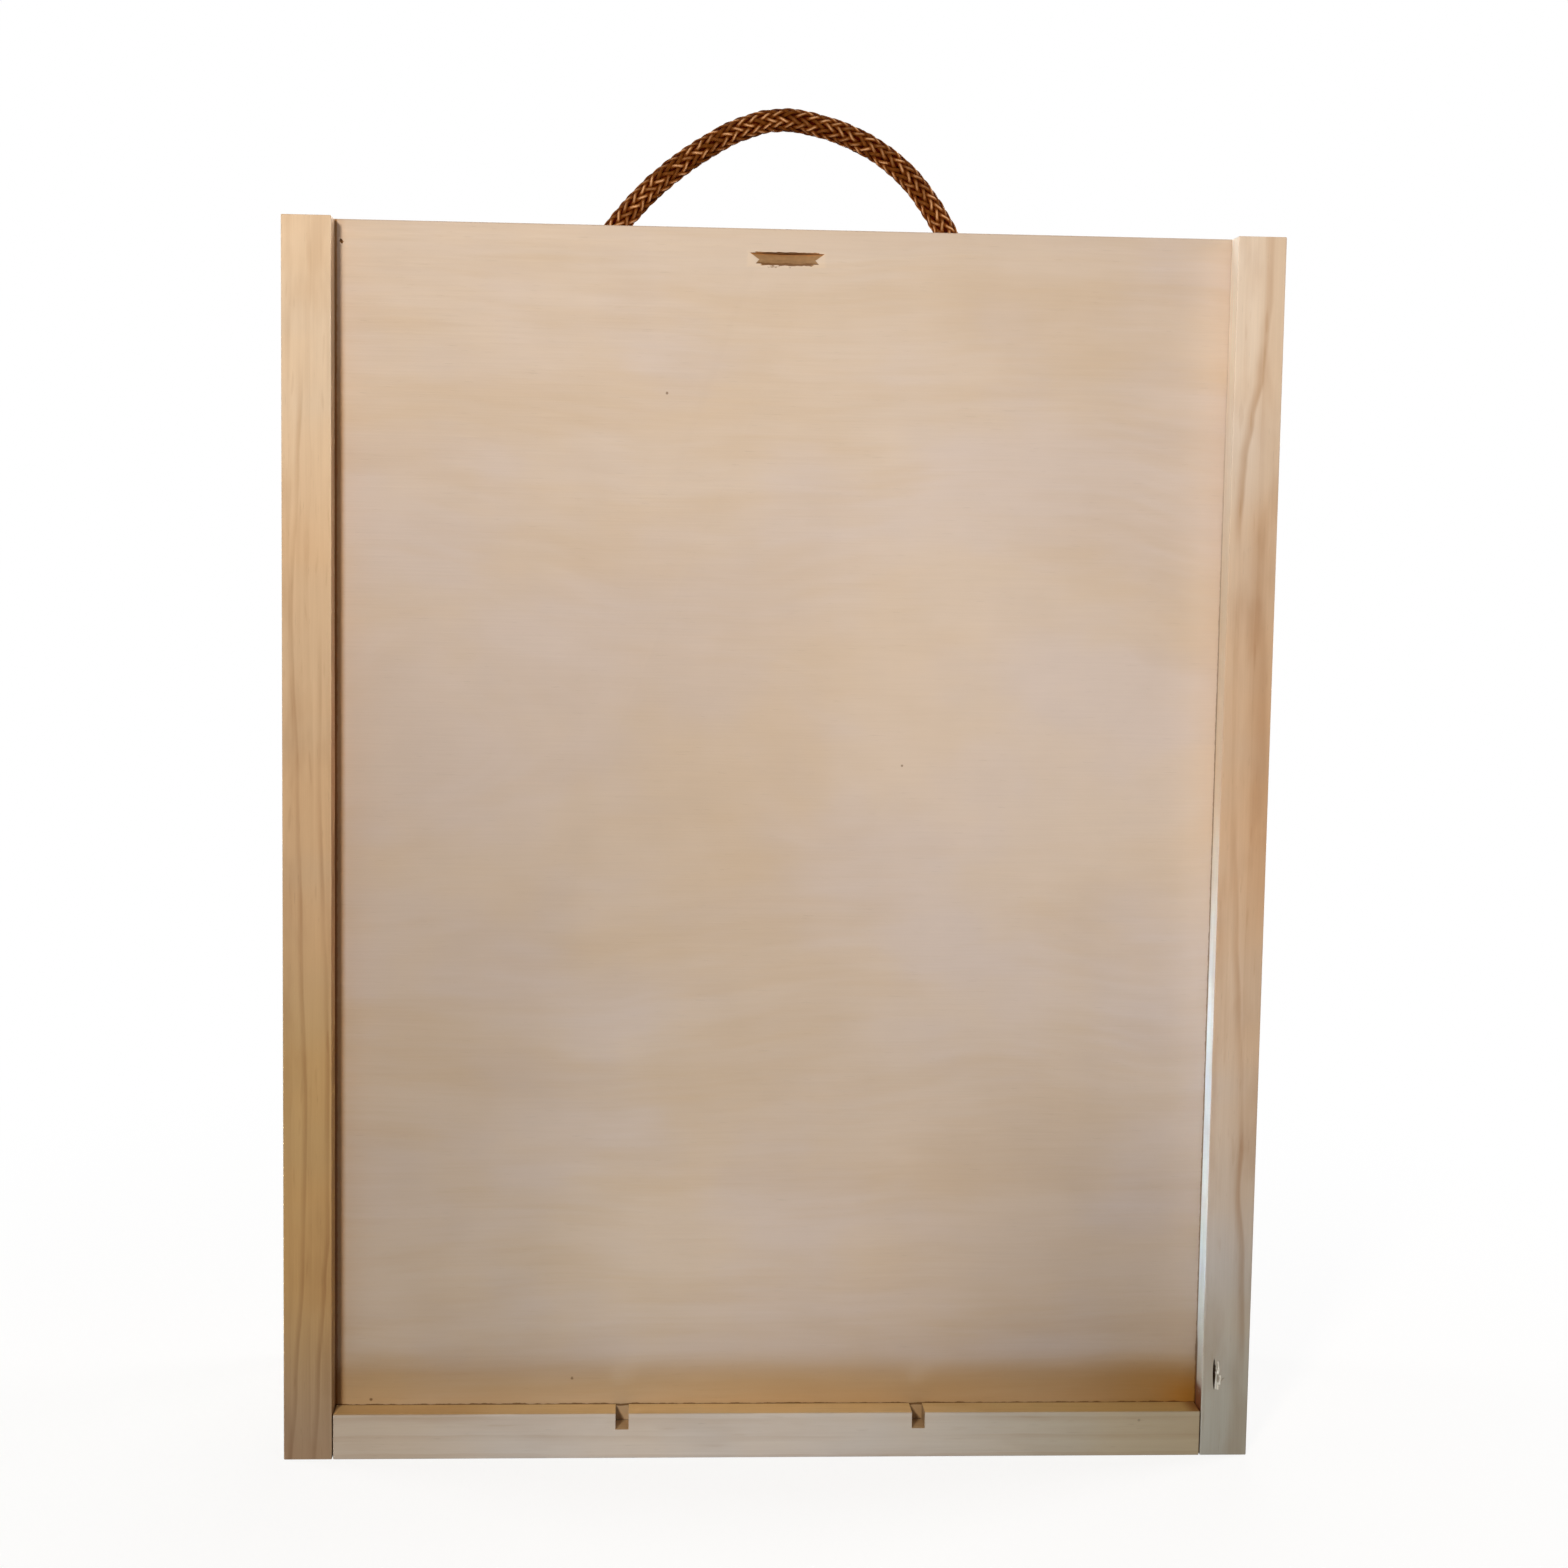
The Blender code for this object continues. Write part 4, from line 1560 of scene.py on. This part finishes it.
def right_finish() -> Pine:
    """Chooses the right side's timber: pink pine with three bold lines, painted fades of light and shade, and
    a painted highlight on its arrises.

    Returns:
        The finish.
    """
    # Painted fades of light and shade up the front: lighter at the top, cooler and darker low down
    painted_fades = painted_fades_up(
        (0.34, 0.20, (0.90, 0.77, 0.65)),
        (0.17, 0.02, (0.69, 0.86, 1.12)),
        (0.25, 0.34, (1.14, 1.21, 1.32)),
        (0.19, 0.14, (1.0, 1.07, 1.16)),
        (0.075, 0.005, (0.76, 0.77, 0.68)),
    )
    # Darker towards the front's outer edge
    edge = PaintedFade((0.1335, 0.0, 0.0), (0.1405, 0.0, 0.0), (0.92, 0.87, 0.81))
    upper = (
        (380.0, 139.0), (342.0, 138.9), (332.0, 138.0), (320.0, 137.0), (308.0, 134.6),
        (296.0, 132.9), (288.0, 132.4), (276.0, 131.8),
    )
    broad = ((282.0, 138.4), (260.0, 138.4), (230.0, 140.2), (190.0, 142.0), (166.0, 143.5))
    lower = (
        (190.0, 133.4), (157.0, 135.0), (136.0, 136.3), (114.0, 137.7), (93.0, 138.5), (82.0, 138.0),
        (60.0, 140.1), (30.0, 141.0),
    )
    lines = (
        LateWood(upper, 2.6 * MM, 0.60),
        LateWood(broad, 6 * MM, 0.30),
        LateWood(lower, 2.2 * MM, 0.45),
    )
    # Its arrises get a painted highlight
    return Pine(
        "pine_right", Grain.UPRIGHT, PINK, ROSE, 8.4, arris_grime_and_highlight=(1.03, 1.04, 1.05), painted_fades=(*painted_fades, edge),
        painted_fade_depth=SIDE_PAINTED_FADE, stains_and_painted_light=right_stains_and_painted_light(), pith=(0.210, -0.05), contrast=0.12, blotch=0.26,
        lines=lines,
    )


def lid_finish() -> Veneer:
    """Chooses the lid's veneer, with painted fades of light and shade over it, painted light and shade in its
    stains, and its few specks.

    Returns:
        The finish.
    """
    # Painted fades of light and shade: shade towards the lower corners and a little at the top left, light
    # towards the middle right
    painted_fades = (
        PaintedFade((0.01, 0.0, 0.31), (-0.18, 0.0, 0.09), (0.69, 0.66, 0.60)),
        PaintedFade((0.05, 0.0, 0.14), (0.17, 0.0, -0.03), (0.68, 0.64, 0.60)),
        PaintedFade((0.0, 0.0, 0.10), (0.13, 0.0, 0.20), (1.05, 1.07, 1.09)),
        PaintedFade((0.08, 0.0, 0.25), (-0.10, 0.0, 0.36), (0.96, 0.96, 0.96)),
    )
    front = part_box("sliding_lid")[0][1]
    places = ((36.05, 205.7, 0.5), (-34.11, 312.78, 0.5), (-59.01, 21.48, 0.6), (-118.47, 15.13, 0.6))
    specks = [Fleck((x * MM, front, z * MM), radius * MM) for x, z, radius in places]
    chip = Fleck((-127.9 * MM, front, 354.4 * MM), 0.6 * MM, (1.30, 1.34, 1.40))
    return Veneer(
        "veneer_lid", Grain.LEVEL, FACE, FLAME, 1.7, fibres=0.06, warm=(1.015, 0.985, 0.92),
        cool=(0.985, 0.995, 1.05), painted_fades=painted_fades, flecks=(*specks, chip), stains_and_painted_light=lid_painted_light(),
    )


def bottom_finish() -> Pine:
    """Chooses the bottom end's timber: drab pine with painted shade towards both ends and one small knot.

    Returns:
        The finish.
    """
    # Painted shade towards both ends
    painted_fades = (
        PaintedFade((0.0, 0.0, 0.0), (0.135, 0.0, 0.0), (0.64, 0.60, 0.46)),
        PaintedFade((-0.04, 0.0, 0.0), (-0.13, 0.0, 0.0), (0.77, 0.72, 0.65)),
    )
    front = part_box("bottom_end")[0][1]
    knot = Fleck((110.3 * MM, front, 10.9 * MM), 0.6 * MM, (0.62, 0.60, 0.58))
    return Pine(
        "pine_bottom", Grain.LEVEL, DRAB, UMBER, 5.5, painted_fades=painted_fades, flecks=(knot,), stains_and_painted_light=bottom_stains_and_shade(),
        pith=(-0.06, -0.05), contrast=0.22,
    )


def board_finishes() -> dict[str, Timber]:
    """Chooses the timber of each board.

    Returns:
        The finish of each board's node.
    """
    upright, level = Grain.UPRIGHT, Grain.LEVEL
    return {
        "left_side": left_finish(),
        "right_side": right_finish(),
        "sliding_lid": lid_finish(),
        "bottom_end": bottom_finish(),
        "top_end": Pine("pine_top", level, TAN, BROWN, 6.2, pith=(0.43, 0.01)),
        "back_panel": Veneer("veneer_back", upright, FACE, FLAME, 9.9, heart=0.03),
        "divider_left": Pine("pine_divider_left", upright, TAN, BROWN, 12.3, pith=(-0.1, -0.02)),
        "divider_right": Pine("pine_divider_right", upright, TAN, BROWN, 14.8, pith=(0.12, 0.02)),
    }


def board_wear() -> dict[str, tuple[Mark, ...]]:
    """Lists the knocks that the photo shows.

    Returns:
        The marks of each worn board's node.
    """
    tear = Gouge((0.1325, 0.0298), (0.1327, 0.0200), 1.0 * MM, 1.9 * MM, 0.45)
    flakes = (
        Gouge((0.1337, 0.0290), (0.1335, 0.0258), 1.0 * MM, 0.4 * MM, 0.15),
        Gouge((0.1335, 0.0246), (0.1339, 0.0226), 1.3 * MM, 0.5 * MM, 0.15),
        Gouge((0.1336, 0.0222), (0.1337, 0.0204), 0.9 * MM, 0.4 * MM, 0.20),
    )
    scratch = Gouge((0.1356, 0.0239), (0.1346, 0.0227), 0.5 * MM, 0.3 * MM, 0.5)
    pit = Gouge((-0.1273, 0.3545), (-0.1269, 0.3531), 1.1 * MM, 0.9 * MM, 0.5)
    torn = (
        TornLip(9.6 * MM, PULL_TOP, 0.35 * MM, 1.2 * MM),
        TornLip(8.2 * MM, PULL_FOOT, -0.60 * MM, 0.8 * MM),
    )
    return {"right_side": (*flakes, tear, scratch), "sliding_lid": (pit, *torn)}


def board_splinters() -> dict[str, tuple[Splinter, ...]]:
    """Lists the torn fibres beside the knocks.

    Returns:
        The fibres of each worn board's node.
    """
    torn = (
        Splinter((0.1331, 0.0206), (0.1332, 0.0274), 0.4 * MM, 0.5 * MM),
        Splinter((0.1343, 0.0218), (0.1340, 0.0244), 0.5 * MM, 0.5 * MM),
        Splinter((0.1337, 0.0244), (0.1340, 0.0290), 0.4 * MM, 0.4 * MM),
    )
    rim = Splinter((-0.1279, 0.3536), (-0.1282, 0.3548), 0.5 * MM, 0.2 * MM)
    return {"right_side": torn, "sliding_lid": (rim,)}


def main() -> None:
    """Builds the looks round the frame, in order."""
    logging.basicConfig(level=logging.INFO, format="%(message)s")
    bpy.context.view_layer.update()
    Studio().build()
    for piece in RopeHandle().build():
        LOG.info("piece %s: %d faces", piece.name, len(piece.data.polygons))
    places = {"right_side": ("box", "pine_side"), "sliding_lid": ("lid", "pine_lid")}
    Boards(board_finishes(), board_wear(), board_splinters(), places).dress()
    Nails().dress()


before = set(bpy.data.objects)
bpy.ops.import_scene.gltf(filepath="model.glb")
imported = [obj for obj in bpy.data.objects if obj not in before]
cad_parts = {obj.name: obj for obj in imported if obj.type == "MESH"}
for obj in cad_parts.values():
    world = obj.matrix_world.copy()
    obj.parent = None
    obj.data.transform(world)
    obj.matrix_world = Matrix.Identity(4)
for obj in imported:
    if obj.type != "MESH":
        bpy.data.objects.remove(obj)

if __name__ == "__main__":
    main()
